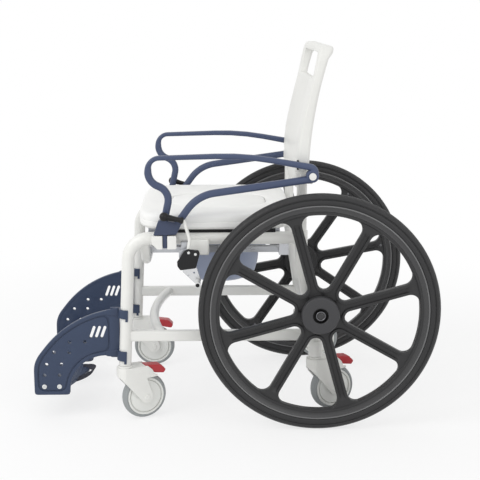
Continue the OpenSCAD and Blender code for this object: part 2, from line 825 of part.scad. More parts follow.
// Moulded hood round the stem, whose cheeks reach down to the axle and back past the pedal's pin
module caster_fork() {
  head_t = 2;
  hood_z = caster_d + 3;
  hood_h = fork_crown_z - hood_z;
  color(white) {
    for (x = [-cheek_out, cheek_in]) side_plane(x) linear_extrude(cheek_t) fork_cheek_outline();
    translate([0, 0, hood_z]) cylinder(r = cheek_out, h = hood_h);
    translate([-cheek_in, 0, hood_z]) cube([2 * cheek_in, pedal_pivot[0] - 10, hood_h]);
    translate([0, 0, fork_crown_z]) cylinder(d = tube_d + 6, h = fork_top - gap - fork_crown_z);
    translate([0, 0, fork_crown_z]) cylinder(d = stem_d, h = fork_top + stem_h - fork_crown_z);
    translate([-cheek_out - head_t, 0, 0]) at_caster_axle()
      cylinder(d = caster_bolt_d, h = 2 * (cheek_out + head_t));
    for (x = [-cheek_out - head_t, cheek_out]) {
      translate([x, 0, 0]) at_caster_axle() cylinder(d = caster_bolt_d + 6, h = head_t);
    }
    side_plane(-cheek_out) translate(pedal_pivot) cylinder(d = pedal_pin_d, h = 2 * cheek_out);
  }
}

module caster_wheel() {
  seat_r = caster_r - caster_tyre_h;
  w = caster_w / 2;
  crown_r = caster_w * 0.62;
  color(caster_grey) at_caster_axle() rotate_extrude() intersection() {
    translate([seat_r, -w]) square([caster_tyre_h, 2 * w]);
    translate([caster_r - crown_r, 0]) circle(crown_r);
  }
  // Outer face of the disc from its hub to its rim, with a ring groove inside the rim
  groove_r = 0.72 * caster_r;
  face = [
    [caster_bolt_d / 2 + run, w + 2], [caster_bolt_d / 2 + 9, w + 2], [caster_bolt_d / 2 + 12, w - 2],
    [groove_r - 1, w - 3], [groove_r, w - 5], [groove_r + 1, w - 3], [seat_r - 4, w - 1], [seat_r, w - 3]
  ];
  color(white) at_caster_axle() rotate_extrude() polygon(concat(
    face, [for (i = [len(face) - 1 : -1 : 0]) [face[i][0], -face[i][1]]]
  ));
}

module brake_pedal() {
  p = pedal_pivot;
  barrel_d = pedal_pin_d + 8;
  barrel_l = pedal_w + 2;
  color(red) difference() {
    union() {
      side_plane(-barrel_l / 2) translate(p) cylinder(d = barrel_d, h = barrel_l);
      side_plane(-pedal_w / 2) linear_extrude(pedal_w) polygon([
        p + [0, 6], p + [14, 14], p + [34, 7], p + [62, -3], p + [69, -8.5], p + [78, -19],
        p + [73, -23], p + [60, -19], p + [48, -13], p + [38, -7], p + [28, 0], p + [0, -5]
      ]);
    }
    side_plane(-pedal_w) translate(p) cylinder(d = pedal_pin_d + 2 * run, h = 2 * pedal_w);
  }
}

module front_caster(swivel) {
  caster_at(-leg_foot_y + 1, 0, swivel) children();
}

module rear_caster(swivel) {
  caster_at(-rear_stem_y, rear_lift, swivel) children();
}

// Armrests

// Corner points of the bar that makes the loop: from the foot up and back under the arm,
// round the pivot, forward along the top and down again
arm_path = [
  [71 - arm_front, rail_z + 44], [122 - arm_front, arm_top_z - 102],
  arm_pivot + [6, -7], arm_pivot + [6, 20], [237 - arm_front, arm_top_z - 1],
  [2 - arm_front, arm_top_z - 7], [-1 - arm_front, arm_top_z - 67],
  [55 - arm_front, arm_top_z - 91], [39 - arm_front, rail_z + 50]
];
arm_radii = [0, 128, 13, 13, 700, 28, 38, 38, 0];

module armrest() {
  color(blue) difference() {
    union() {
      side_plane(arm_x) bent_bar(arm_path, arm_radii, arm_h, arm_w);
      side_plane(arm_x - arm_boss_w / 2) translate(arm_pivot)
        cylinder(d = arm_bolt_d + 20, h = arm_boss_w);
    }
    side_plane(arm_x - arm_w) translate(arm_pivot) cylinder(d = arm_bolt_d + 2 * run, h = 2 * arm_w);
    side_plane(arm_x - arm_w) linear_extrude(2 * arm_w) polygon(arm_foot);
  }
}

tongue_at = 40 - arm_front;
tongue_l = 11;
tongue_t = 7;
tongue_h = 32;
// The tongue stands behind the socket's outer wall, and swings forward as it lifts out
socket_wall = 3.5;
tongue_x = arm_x + arm_w / 2 - socket_wall - gap - tongue_t;
tongue_swing = 17;

// Block under the armrest's front, with a tongue that drops into the socket
module armrest_foot() {
  color(navy) {
    side_plane(arm_x - arm_w / 2) linear_extrude(arm_w) polygon(arm_foot);
    translate([tongue_x, tongue_at - tongue_l / 2, socket_top - tongue_h])
      cube([tongue_t, tongue_l, tongue_h + 6]);
  }
}

module armrest_socket() {
  depth = tongue_h + 2;
  front = 7 - arm_front;
  rear = front + 62;
  slope = 14;
  color(white) difference() {
    side_plane(frame_x) linear_extrude(arm_x + arm_w / 2 - frame_x) polygon([
      [front, socket_top], [front, socket_top - depth + slope], [front + slope, socket_top - depth],
      [rear, socket_top - depth], [rear, socket_top]
    ]);
    leg_rail_bar();
    translate([tongue_x - gap, tongue_at - tongue_l / 2 - tongue_swing, socket_top - depth - over])
      cube([tongue_t + 2 * gap, tongue_l + tongue_swing + gap, depth + 2 * over]);
    // Window through which the tongue is seen
    translate([tongue_x, tongue_at - tongue_l / 2 - gap, socket_top - depth - over])
      cube([tongue_t + socket_wall + over, tongue_l + 2 * gap, depth + 2 * over]);
  }
}

module armrest_sockets() {
  armrest_socket();
  right() armrest_socket();
}

// Clamp on the back post that carries the armrest's pivot bolt
module armrest_pivot() {
  plate_x = back_half_w + gap;
  plate_t = arm_x - arm_boss_w / 2 - gap - plate_x;
  head_x = arm_x + arm_boss_w / 2 + gap;
  clamp_h = 24;
  clamp_z = back_bottom - gap - clamp_h;
  color(steel) difference() {
    union() {
      side_plane(plate_x) linear_extrude(plate_t) {
        translate(arm_pivot) circle(d = arm_bolt_d + 18);
        translate([-post_y - 6, clamp_z]) square([post_y - arm_pivot_y + 8, clamp_h]);
      }
      translate([frame_x, -post_y, clamp_z]) cylinder(d = post_d + 8, h = clamp_h);
      translate([frame_x, -post_y - 6, clamp_z]) cube([plate_x - frame_x + 1, 18, clamp_h]);
      side_plane(plate_x) translate(arm_pivot) cylinder(d = arm_bolt_d, h = head_x - plate_x);
      side_plane(head_x) translate(arm_pivot) cylinder(d = arm_head_d, h = 4);
    }
    translate([frame_x, -post_y, clamp_z - over]) cylinder(d = post_d, h = clamp_h + 2 * over);
  }
}

module armrest_pivots() {
  armrest_pivot();
  right() armrest_pivot();
}

// Wheel locks

// The shoe runs next to the plate, and the lever clear of the armrest's outer face
shoe_x = lock_x + lock_plate_t + 1;
shoe_t = 5;
lever_x = arm_x + arm_w / 2 + 6;
lever_t = 6;

lock_cover_t = 4;

// Inner plate and outer cover, with the lever and the shoe on the pins between them
module lock_plate() {
  cover_x = lever_x + lever_t + 1.5;
  color(black) {
    side_plane(lock_x) linear_extrude(lock_plate_t) translate(lever_pivot) {
      translate([0, 1]) rounded_rect(44, 30, 9);
      polygon([[-22, -5], [22, -5], [17, -30], [-3, -33]]);
    }
    side_plane(cover_x) linear_extrude(lock_cover_t) translate(lever_pivot) polygon([
      [-8, 17], [0, 22], [28, 19], [31, 11], [21, -27], [-18, -32], [-25, -22], [-26, -10]
    ]);
    difference() {
      translate([frame_x + 4, lever_pivot[0] - 17, lever_pivot[1] - 1])
        cube([lock_x - frame_x - 4, 30, rail_z - lever_pivot[1] - 3]);
      leg_rail_bar();
    }
    // Clamp that holds the plate to the rail
    difference() {
      translate([frame_x, lever_pivot[0] + 19, rail_z - 31]) cube([lock_x + 4 - frame_x, 36, 38]);
      leg_rail_bar();
    }
    side_plane(lock_x) for (at = [lever_pivot, shoe_pivot]) {
      translate(at) cylinder(d = lock_pin_d, h = cover_x + 1 - lock_x);
    }
  }
}

module lock_plates() {
  lock_plate();
  right() lock_plate();
}

grip_from = lever_pivot + [-8, 92];
grip_start = 4;
grip_angle = 166;
grip_splay = 10;

// Turns local Z along the lever's upper arm, which splays outwards
module on_grip() {
  translate([lever_x + lever_t / 2, grip_from[0], grip_from[1]])
    rotate([-grip_angle, 0, 0]) rotate([-90, grip_splay, 0]) children();
}

module grip_rod() {
  on_grip() cylinder(d = lever_t - 1, h = grip_l * 0.7 + grip_start);
}

module lock_lever() {
  w = 8;
  color(steel) difference() {
    union() {
      side_plane(lever_x - 0.5) translate(lever_pivot) cylinder(d = lock_pin_d + 10, h = lever_t + 1);
      side_plane(lever_x + lever_t / 2)
        bent_bar([lever_pivot + [0, 6], lever_pivot + [6, 45], grip_from], [0, 30, 0], w, lever_t);
      grip_rod();
    }
    side_plane(lever_x - over) translate(lever_pivot)
      cylinder(d = lock_pin_d + 2 * run, h = lever_t + 2 * over);
  }
}

module lock_grip() {
  color(black) difference() {
    on_grip() translate([0, 0, grip_start]) rotate_extrude() polygon([
      [0, 0], [grip_d * 0.3, 0], [grip_d * 0.42, 6], [grip_d * 0.5, grip_l * 0.6],
      [grip_d * 0.47, grip_l - 8], [grip_d * 0.36, grip_l - 2], [0, grip_l]
    ]);
    grip_rod();
  }
}

module lock_shoe() {
  color(steel) difference() {
    union() {
      side_plane(shoe_x) linear_extrude(shoe_t) {
        translate(shoe_pivot) circle(d = lock_pin_d + 9);
        translate(peg_at) circle(d = peg_d);
        polygon([
          shoe_pivot + [-8, 2], shoe_pivot + [8, 2], peg_at + [7, 5], peg_at + [-4, -6], peg_at + [-38, 25],
          peg_at + [-36, 32]
        ]);
      }
      side_plane(shoe_x) translate(peg_at) cylinder(d = peg_d, h = wheel_x + tyre_w / 2 - 4 - shoe_x);
    }
    side_plane(shoe_x - over) translate(shoe_pivot)
      cylinder(d = lock_pin_d + 2 * run, h = shoe_t + 2 * over);
  }
}

// Footrests

// Sickle outline of a footrest panel, drawn in by d on its curved and lower edges
module panel_outline(d) {
  difference() {
    intersection() {
      translate(panel_mid) circle(panel_r - d, $fn = 180);
      translate([-foot_reach + d, foot_z + d]) square([foot_reach + panel_back - 2 * d, panel_r]);
    }
    translate(panel_cut_mid) circle(panel_cut_r + d, $fn = 120);
    translate([panel_cut_mid[0] - panel_cut_r - d, 0]) square([foot_reach, panel_cut_mid[1]]);
  }
}

// Cylinder on the front leg's axis between two heights along it
module on_leg(from, to, d) {
  translate([frame_x, front_foot[0], front_foot[1]]) rotate([-leg_angle, 0, 0])
    translate([0, 0, from]) cylinder(d = d, h = to - from);
}

lug_wall = 5;
lugs = [[14, 40], [127, 150]];

module panel_lug(from, to) {
  difference() {
    union() {
      on_leg(from, to, tube_d + 2 * lug_wall);
      translate([panel_x - panel_t / 2, panel_back - 26, front_foot[1] + from])
        cube([panel_t, tube_d / 2 + 34, to - from]);
    }
    on_leg(from - 5, to + 5, tube_d + 2 * run);
    translate([panel_x - tube_d, front_foot[0] + 10, front_foot[1] + from - 5])
      cube([4 * tube_d, 2 * tube_d, to - from + 10]);
  }
}

module foot_panel() {
  slot_at = [panel_back - 52, foot_z + 170];
  inner_face = panel_x - panel_t / 2;
  color(navy) difference() {
    union() {
      side_plane(inner_face) linear_extrude(panel_t) panel_outline(0);
      side_plane(inner_face + panel_t) linear_extrude(border_t) difference() {
        panel_outline(0);
        panel_outline(border_w);
      }
      for (l = lugs) panel_lug(l[0], l[1]);
      // Hinge bracket of the footplate, inside the panel
      translate([flap_x + hinge_barrel_d / 2 + 1, -foot_reach + 8, foot_z + 8])
        cube([inner_face - flap_x - hinge_barrel_d / 2 - 1, 74, 30]);
      for (y = [flap_neck[0] - 9, flap_neck[1] + gap]) {
        translate([0, y, 0]) rotate([-90, 0, 0]) linear_extrude(9 - gap) {
          translate([flap_x, -flap_z]) circle(d = hinge_barrel_d);
          translate([flap_x, -flap_z - hinge_barrel_d / 2])
            square([hinge_barrel_d / 2 + 2, hinge_barrel_d]);
        }
      }
      translate([flap_x, flap_neck[0] - 9, flap_z]) rotate([-90, 0, 0])
        cylinder(d = hinge_pin_d, h = flap_neck[1] - flap_neck[0] + 18);
      // Bolt heads of the row in use
      for (s = [-1, 1]) side_plane(inner_face + panel_t) translate(hole_at(0, s)) cylinder(d = 12.6, h = 3);
    }
    for (k = [1 : len(hole_rows) - 1], s = [-1, 1]) {
      side_plane(inner_face - over) translate(hole_at(k, s)) cylinder(d = adjust_d, h = panel_t + 2 * over);
    }
    for (k = [-1 : 1]) side_plane(inner_face - over) translate(slot_at + [k * 14, 0]) rotate(70)
      linear_extrude(panel_t + 2 * over) obround(34, 7);
  }
}

plate_end = flap_x - hinge_barrel_d / 2 - 2;

module tread() {
  translate([plate_end - footplate_w / 2, (flap_front + flap_rear) / 2, flap_z - footplate_t / 2])
    linear_extrude(footplate_t) rounded_rect(footplate_w, flap_rear - flap_front, 16);
}

module footplate() {
  color(navy) difference() {
    union() {
      tread();
      translate([flap_x, flap_neck[0], flap_z]) rotate([-90, 0, 0])
        cylinder(d = hinge_barrel_d, h = flap_neck[1] - flap_neck[0]);
      translate([plate_end - 20, flap_neck[0], flap_z - footplate_t / 2])
        cube([flap_x - plate_end + 20, flap_neck[1] - flap_neck[0], footplate_t]);
    }
    translate([flap_x, flap_neck[0] - over, flap_z]) rotate([-90, 0, 0])
      cylinder(d = hinge_pin_d + 2 * run, h = flap_neck[1] - flap_neck[0] + 2 * over);
  }
}

// Band bowed around the heel, let into the footplate's rear edge
module heel_strap() {
  half = footplate_w * 0.3;
  depth = 38;
  r = (half * half + depth * depth) / (2 * depth);
  sweep = 2 * asin(half / r);
  mid_x = plate_end - footplate_w * 0.56;
  color(black) difference() {
    translate([mid_x, flap_rear + 18 - r, flap_z - strap_w * 0.36]) rotate([0, 0, 90 - sweep / 2])
      rotate_extrude(angle = sweep, $fn = 120) translate([r - strap_t, 0]) square([strap_t, strap_w]);
    tread();
  }
}

place() seat_rail();  // seat_rail_left
place() right() seat_rail();  // seat_rail_right
place() lower_rail();  // lower_rail_left
place() right() lower_rail();  // lower_rail_right
place() rear_leg();  // rear_leg_left
place() right() rear_leg();  // rear_leg_right
place() front_cross_tube();
place() lower_cross_tube();
place() rear_cross_tube();
place() back_posts();
place() back_shell();
place() seat();
place() pan_runners();
place() seat_strips();
place() armrest_sockets();
place() armrest_pivots();
place() lock_plates();
place() axle();  // axle_left
place() right() axle();  // axle_right
place() wheel(left_spoke_angle);  // wheel_left
place() right() wheel(right_spoke_angle);  // wheel_right
place() tyre();  // tyre_left
place() right() tyre();  // tyre_right
place() hub_cap();  // hub_cap_left
place() right() hub_cap();  // hub_cap_right
place() release_button();  // release_button_left
place() right() release_button();  // release_button_right
place() bearings();  // bearings_left
place() right() bearings();  // bearings_right
place() front_caster(swivel_front_left) caster_fork();  // caster_fork_front_left
place() right() front_caster(0) caster_fork();  // caster_fork_front_right
place() rear_caster(swivel_rear_left) caster_fork();  // caster_fork_rear_left
place() right() rear_caster(0) caster_fork();  // caster_fork_rear_right
place() front_caster(swivel_front_left) caster_wheel();  // caster_wheel_front_left
place() right() front_caster(0) caster_wheel();  // caster_wheel_front_right
place() rear_caster(swivel_rear_left) caster_wheel();  // caster_wheel_rear_left
place() right() rear_caster(0) caster_wheel();  // caster_wheel_rear_right
place() front_caster(swivel_front_left) brake_pedal();  // brake_pedal_front_left
place() right() front_caster(0) brake_pedal();  // brake_pedal_front_right
place() rear_caster(swivel_rear_left) brake_pedal();  // brake_pedal_rear_left
place() right() rear_caster(0) brake_pedal();  // brake_pedal_rear_right
place() armrest();  // armrest_left
place() right() armrest();  // armrest_right
place() armrest_foot();  // armrest_foot_left
place() right() armrest_foot();  // armrest_foot_right
place() lock_lever();  // lock_lever_left
place() right() lock_lever();  // lock_lever_right
place() lock_grip();  // lock_grip_left
place() right() lock_grip();  // lock_grip_right
place() lock_shoe();  // lock_shoe_left
place() right() lock_shoe();  // lock_shoe_right
place() foot_panel();  // foot_panel_left
place() right() foot_panel();  // foot_panel_right
place() footplate();  // footplate_left
place() right() footplate();  // footplate_right
place() heel_strap();  // heel_strap_left
place() right() heel_strap();  // heel_strap_right
place() pan();
place() seat_cover();
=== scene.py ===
import json
import math

import bpy
import numpy as np
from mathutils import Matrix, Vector
from mathutils.geometry import delaunay_2d_cdt


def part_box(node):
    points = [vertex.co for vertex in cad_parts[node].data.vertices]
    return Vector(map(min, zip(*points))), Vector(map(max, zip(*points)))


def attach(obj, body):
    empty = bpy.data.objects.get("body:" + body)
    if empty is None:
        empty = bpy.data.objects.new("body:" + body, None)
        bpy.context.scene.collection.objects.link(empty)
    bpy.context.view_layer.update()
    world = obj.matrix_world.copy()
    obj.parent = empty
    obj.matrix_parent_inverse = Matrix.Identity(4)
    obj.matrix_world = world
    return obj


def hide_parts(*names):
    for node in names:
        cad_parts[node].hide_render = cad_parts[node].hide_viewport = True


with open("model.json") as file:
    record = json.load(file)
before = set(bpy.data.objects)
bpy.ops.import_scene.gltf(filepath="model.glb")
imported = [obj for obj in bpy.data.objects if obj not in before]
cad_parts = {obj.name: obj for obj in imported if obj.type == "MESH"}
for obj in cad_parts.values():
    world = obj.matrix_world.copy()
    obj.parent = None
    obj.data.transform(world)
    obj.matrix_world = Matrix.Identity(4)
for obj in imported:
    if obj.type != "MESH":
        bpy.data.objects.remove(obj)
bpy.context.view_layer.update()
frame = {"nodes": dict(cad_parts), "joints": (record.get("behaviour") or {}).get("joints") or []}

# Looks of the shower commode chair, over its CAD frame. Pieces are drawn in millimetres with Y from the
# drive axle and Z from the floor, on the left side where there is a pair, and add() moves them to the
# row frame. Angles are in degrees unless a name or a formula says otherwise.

JOINT = {j["name"]: j for j in frame["joints"]}
AXLE_Y = 1000 * JOINT["drive_spin_left"]["pos_m"][1]
X, Y, Z = np.eye(3)


def joint_at(name):
    """Place of a joint, from the drive axle and the floor."""
    return 1000 * np.array(JOINT[name]["pos_m"]) - AXLE_Y * Y


def node_box(name):
    """Lowest and highest corner of a CAD node, from the drive axle and the floor, to a hundredth."""
    return [np.round(1000 * np.array(corner) - AXLE_Y * Y, 2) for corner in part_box(name)]


# Shapes: each is (points, list of face index arrays) and closed

# Largest share of a straight that a rounded corner may take
CORNER_SHARE = 0.49
# Lengths and turns under this are taken as none
TINY = 1e-3
# Radius of a turned piece's poles, which keeps the faces there from shrinking to lines
POLE_R = 0.02
# Smallest cosine of a mitre, which limits how far a sharp corner is drawn in
MITRE_MIN = 0.5
# Inner points nearer to a rim than this share of their spacing are left out
RIM_CLEAR = 0.6
# Points of a filled outline that are closer than this count as one
MERGE = 1e-4
# Faces that would lie in one plane are kept this far apart
SUNK = 0.3
# Angle past which an edge is shown sharp: in general, on foam, and on softly bent pieces
CREASE = 38
FOAM_CREASE = 50
SOFT_CREASE = 60


def unit(v):
    """Vectors scaled to length 1."""
    return np.asarray(v, float) / np.linalg.norm(v, axis=-1, keepdims=True)


def smooth_step(a, b, x):
    """0 at a, 1 at b, and between them 3 t^2 - 2 t^3 of the way t."""
    t = np.clip((x - a) / (b - a), 0, 1)
    return t * t * (3 - 2 * t)


def grid(points, wrap_u=True, wrap_v=True):
    """Quads over points (u, v, xyz); a wrapped direction joins its last row to its first."""
    nu, nv = points.shape[:2]
    i = np.arange(nu if wrap_u else nu - 1)[:, None]
    j = np.arange(nv if wrap_v else nv - 1)[None, :]
    i2, j2 = (i + 1) % nu, (j + 1) % nv
    quads = np.stack([i * nv + j, i2 * nv + j, i2 * nv + j2, i * nv + j2], -1)
    return points.reshape(-1, 3), [quads.reshape(-1, 4)]


def tube(rings):
    """Rings of points (u, v, xyz) joined in a row, each end closed by a fan about its middle."""
    nu, nv = rings.shape[:2]
    points, faces = grid(rings, wrap_u=False)
    j = np.arange(nv)
    k = (j + 1) % nv
    last = (nu - 1) * nv
    start_fan = np.stack([np.full(nv, nu * nv), j, k], 1)
    end_fan = np.stack([np.full(nv, nu * nv + 1), last + k, last + j], 1)
    return np.vstack([points, rings[0].mean(0), rings[-1].mean(0)]), [*faces, start_fan, end_fan]


def sweep(path, section, across):
    """Section (p, q) carried along a path: q lies along across, p at right angles to across and the path."""
    path = np.asarray(path, float)
    across = np.asarray(across, float)
    section = np.asarray(section, float)
    side = unit(np.cross(across, unit(np.gradient(path, axis=0))))
    return tube(path[:, None] + section[..., :1] * side[:, None] + section[..., 1:] * across)


def revolve(profile, centre, axis, steps=64):
    """Closed outline of (radius, height) turned about an axis."""
    axis = unit(axis)
    first = unit(np.cross(axis, Y if abs(axis[1]) < 0.9 else Z))
    angle = np.linspace(0, 2 * np.pi, steps, endpoint=False)[:, None, None]
    profile = np.asarray(profile, float)
    r, h = np.maximum(profile[None, :, :1], POLE_R), profile[None, :, 1:]
    around = np.cos(angle) * first + np.sin(angle) * np.cross(axis, first)
    return grid(centre + r * around + h * axis)


def rounded(corners, radius, closed=True, step=12):
    """Corner points joined by straights, each corner an arc of its radius, or of as much as fits.

    The arc starts radius / tan(half the corner's angle) before the corner, and its points are a step of turn
    apart, by sin((1 - s) turn) of its start and sin(s turn) of its end.
    """
    p = np.asarray(corners, float)
    n = len(p)
    radius = np.broadcast_to(radius, n)
    out = []
    for i in range(n):
        if not closed and i in (0, n - 1):
            out.append(p[i:i + 1])
            continue
        a, b = p[i - 1] - p[i], p[(i + 1) % n] - p[i]
        la, lb = np.linalg.norm(a), np.linalg.norm(b)
        a, b = a / la, b / lb
        half = math.acos(np.clip(a @ b, -1, 1)) / 2
        cut = min(radius[i] / math.tan(half), CORNER_SHARE * la, CORNER_SHARE * lb)
        turn = math.pi - 2 * half
        if cut < TINY or turn < TINY:
            out.append(p[i:i + 1])
            continue
        centre = p[i] + unit(a + b) * cut / math.cos(half)
        s = np.linspace(0, 1, max(2, math.ceil(math.degrees(turn) / step)) + 1)[:, None]
        start, end = p[i] + a * cut - centre, p[i] + b * cut - centre
        out.append(centre + (np.sin((1 - s) * turn) * start + np.sin(s * turn) * end) / math.sin(turn))
    return np.vstack(out)


def about(middle, offsets, radius):
    """Outline of rounded corners that are given from a middle."""
    return rounded([middle + p for p in offsets], radius)


def arc(centre, r, start, end, steps=24):
    """Points of a circle between two angles."""
    a = np.radians(np.linspace(start, end, steps))
    return np.asarray(centre) + r * np.stack([np.cos(a), np.sin(a)], 1)


def evenly(path, step):
    """A path's points spread evenly along its length, about a step apart."""
    d = np.r_[0, np.cumsum(np.linalg.norm(np.diff(path, axis=0), axis=1))]
    s = np.linspace(0, d[-1], max(3, int(d[-1] / step) + 1))
    return np.stack([np.interp(s, d, c) for c in np.asarray(path, float).T], 1)


def dense(loop, step):
    """A closed loop with points added on its straights so that none are more than a step apart."""
    ahead = np.roll(loop, -1, 0) - loop
    count = np.maximum(1, np.ceil(np.linalg.norm(ahead, axis=1) / step)).astype(int)
    k = np.arange(count.sum()) - np.repeat(np.cumsum(count) - count, count)
    share = np.repeat(count, count)[:, None]
    return np.repeat(loop, count, 0) + np.repeat(ahead, count, 0) * k[:, None] / share


def softened(loop, reach, step=2.5):
    """Closed loop spread evenly and averaged along itself by the bell curve exp(-(d / reach)^2)."""
    path = evenly(np.vstack([loop, loop[:1]]), step)[:-1]
    k = np.arange(len(path))
    bell = np.exp(-((np.minimum(k, len(path) - k) * step / reach) ** 2))
    bell = np.fft.fft(bell / bell.sum())[:, None]
    return np.real(np.fft.ifft(np.fft.fft(path, axis=0) * bell, axis=0))


def super_oval(turn, half, power):
    """Points |x / a|^power + |y / b|^power = 1 at turns in radians: an ellipse at 2, squarer above."""
    p = np.stack([np.cos(turn), np.sin(turn)], -1)
    return np.sign(p) * np.abs(p) ** (2 / power) * half


def oval(w, h, power=2.0, steps=28):
    """Section of a given width and height, round at power 2 and squarer above."""
    return super_oval(np.linspace(0, 2 * np.pi, steps, endpoint=False), [w / 2, h / 2], power)


def even_turn(power, steps):
    """Turns that spread a superellipse's points evenly along it."""
    turn = np.linspace(0, 2 * np.pi, 4001)
    p = super_oval(turn, [1, 1], power)
    d = np.r_[0, np.cumsum(np.linalg.norm(np.diff(p, axis=0), axis=1))]
    return np.interp(np.linspace(0, d[-1], steps, endpoint=False), d, turn)


def inside(points, loops):
    """Even-odd test: a point is inside if a line from it crosses the closed loops an odd number of times."""
    x, y = points[:, :1], points[:, 1:]
    odd = np.zeros(len(points), bool)
    for a in loops:
        b = np.roll(a, -1, 0)
        rise = np.where(a[:, 1] == b[:, 1], 1, b[:, 1] - a[:, 1])
        spans = (a[:, 1] > y) != (b[:, 1] > y)
        hit = spans & (x < a[:, 0] + (y - a[:, 1]) * (b[:, 0] - a[:, 0]) / rise)
        odd ^= hit.sum(1) % 2 == 1
    return odd


def fill(loops, spacing):
    """Triangles between closed loops: (all points, index triples). Points a spacing apart are put inside."""
    points = np.vstack(loops)
    if spacing:
        low, high = points.min(0), points.max(0)
        mesh = np.meshgrid(*[np.arange(a + spacing / 2, b, spacing) for a, b in zip(low, high)])
        extra = np.stack(mesh, -1).reshape(-1, 2)
        extra = extra[inside(extra, loops)]
        near = np.min(np.linalg.norm(extra[:, None] - points[None], axis=2), 1)
        points = np.vstack([points, extra[near > RIM_CLEAR * spacing]])
    edges, base = [], 0
    for loop in loops:
        edges += [(base + k, base + (k + 1) % len(loop)) for k in range(len(loop))]
        base += len(loop)
    result = delaunay_2d_cdt([Vector(p) for p in points], edges, [], 0, MERGE)
    source = np.array([o[0] for o in result[3]])
    triples = source[np.array(result[2])]
    return points, triples[inside(points[triples].mean(1), loops)]


def inset(loop, distance):
    """A loop moved to its left, into the material of a plate, along its mitred normals."""
    ahead = unit(np.roll(loop, -1, 0) - loop)
    normal = np.stack([-ahead[:, 1], ahead[:, 0]], 1)
    mean = unit(normal + np.roll(normal, 1, 0))
    return loop + distance * mean / np.maximum((mean * normal).sum(1, keepdims=True), MITRE_MIN)


def plate(outline, half, edge, holes=(), spacing=0, steps=4):
    """Flat piece from h = -half to half in (p, q, h), with every rim a quarter round of radius edge.

    Each loop is carried through the rows of the rim, drawn in by the row's distance, and the two flat
    faces are filled between the last rows. Outlines run to the left and holes to the right.
    """
    loops = []
    for k, loop in enumerate([outline, *holes]):
        loop = np.asarray(loop, float)
        nxt = np.roll(loop, -1, 0)
        area = np.sum(loop[:, 0] * nxt[:, 1] - loop[:, 1] * nxt[:, 0])
        loops.append(loop if (area > 0) == (k == 0) else loop[::-1])
    a = np.radians(np.linspace(0, 90, steps + 1))
    rim = np.stack([edge * (1 - np.sin(a)), half - edge * (1 - np.cos(a))], 1)[::-1]
    rim = np.vstack([rim[::-1] * [1, -1], rim])
    points, faces, low, high, base = [], [], [], [], 0
    for loop in loops:
        rows = np.stack([np.c_[inset(loop, d), np.full(len(loop), h)] for d, h in rim])
        p, f = grid(rows, wrap_u=False)
        points.append(p)
        faces.append(f[0][:, ::-1] + base)
        low.append(base + np.arange(len(loop)))
        high.append(base + (len(rim) - 1) * len(loop) + np.arange(len(loop)))
        base += len(p)
    flat, triples = fill([inset(loop, rim[0, 0]) for loop in loops], spacing)
    extra = flat[sum(map(len, loops)):]
    for ids, h, turn in ((low, -half, -1), (high, half, 1)):
        where = np.concatenate([*ids, base + np.arange(len(extra))])
        points.append(np.c_[extra, np.full(len(extra), h)])
        faces.append(where[triples][:, ::turn])
        base += len(extra)
    return np.vstack(points), faces


def slab(outline, x0, x1, edge, holes=()):
    """Plate drawn in (Y, Z), standing between two distances x."""
    p, f = plate(outline, (x1 - x0) / 2, edge, holes)
    return np.stack([(x0 + x1) / 2 + p[:, 2], p[:, 0], p[:, 1]], 1), f


def layer(outline, z0, z1, edge, holes=(), steps=4):
    """Plate drawn in (X, Y), lying between two heights."""
    p, f = plate(outline, (z1 - z0) / 2, edge, holes, steps=steps)
    return p + [0, 0, (z0 + z1) / 2], f


def block(low, high, r):
    """Box between two corners, its upright edges rounded by r, or 0.45 of a side, and the others by 0.7 r."""
    (x0, y0, z0), (x1, y1, z1) = low, high
    r = min(r, 0.45 * (x1 - x0), 0.45 * (y1 - y0), 0.45 * (z1 - z0))
    outline = rounded([[x0, y0], [x1, y0], [x1, y1], [x0, y1]], r, step=20)
    return layer(outline, z0, z1, r * 0.7)


def barrel(r, low, high, bore=0.0):
    """Profile of a rod, or of a sleeve round a bore, between two heights."""
    return [[bore, low], [r, low], [r, high], [bore, high]]


def turned(profile, edge, at, axis=X, steps=64):
    """Profile with its corners rounded by edge, turned about an axis through a place."""
    return revolve(rounded(profile, edge), np.asarray(at, float), axis, steps)


def both_faces(side):
    """Closed section whose outward half is given: that half mirrored inwards, then itself on the way back."""
    return np.vstack([side * [1, -1], side[::-1]])


def bolt_head(at, out, d, t, socket=0.5):
    """Low domed head with a hollow in its top that is a share of its width."""
    r = d / 2
    dome = [[0, -0.5], [r, -0.5], [r, 0.6 * t], [0.75 * r, t]]
    hollow = [[socket * r, t], [socket * r, 0.4 * t], [0, 0.4 * t]]
    return turned(dome + hollow, 0.3 * t, at, out, 32)


def crossbar(x, y, z):
    """Path along X through the places x, at one y and one height."""
    return np.c_[x, np.full(len(x), y), np.full(len(x), z)]


def in_side(path, x):
    """Path of (Y, Z) at a distance x."""
    return np.c_[np.full(len(path), x), path]


def mirrored(shape):
    """The shape on the other side of the chair."""
    return shape[0] * [-1, 1, 1], shape[1]


def pair(shapes):
    """Left shapes and their mirror images."""
    return shapes + [mirrored(s) for s in shapes]


def outward(shape):
    """A closed shell with its faces turned so that its signed volume is positive."""
    p, faces = shape
    q = p - p.mean(0)
    volume = sum(
        np.einsum("ij,ij", q[f[:, 0]], np.cross(q[f[:, k]], q[f[:, k + 1]]))
        for f in faces for k in range(1, f.shape[1] - 1)
    )
    return (p, faces) if volume > 0 else (p, [f[:, ::-1] for f in faces])


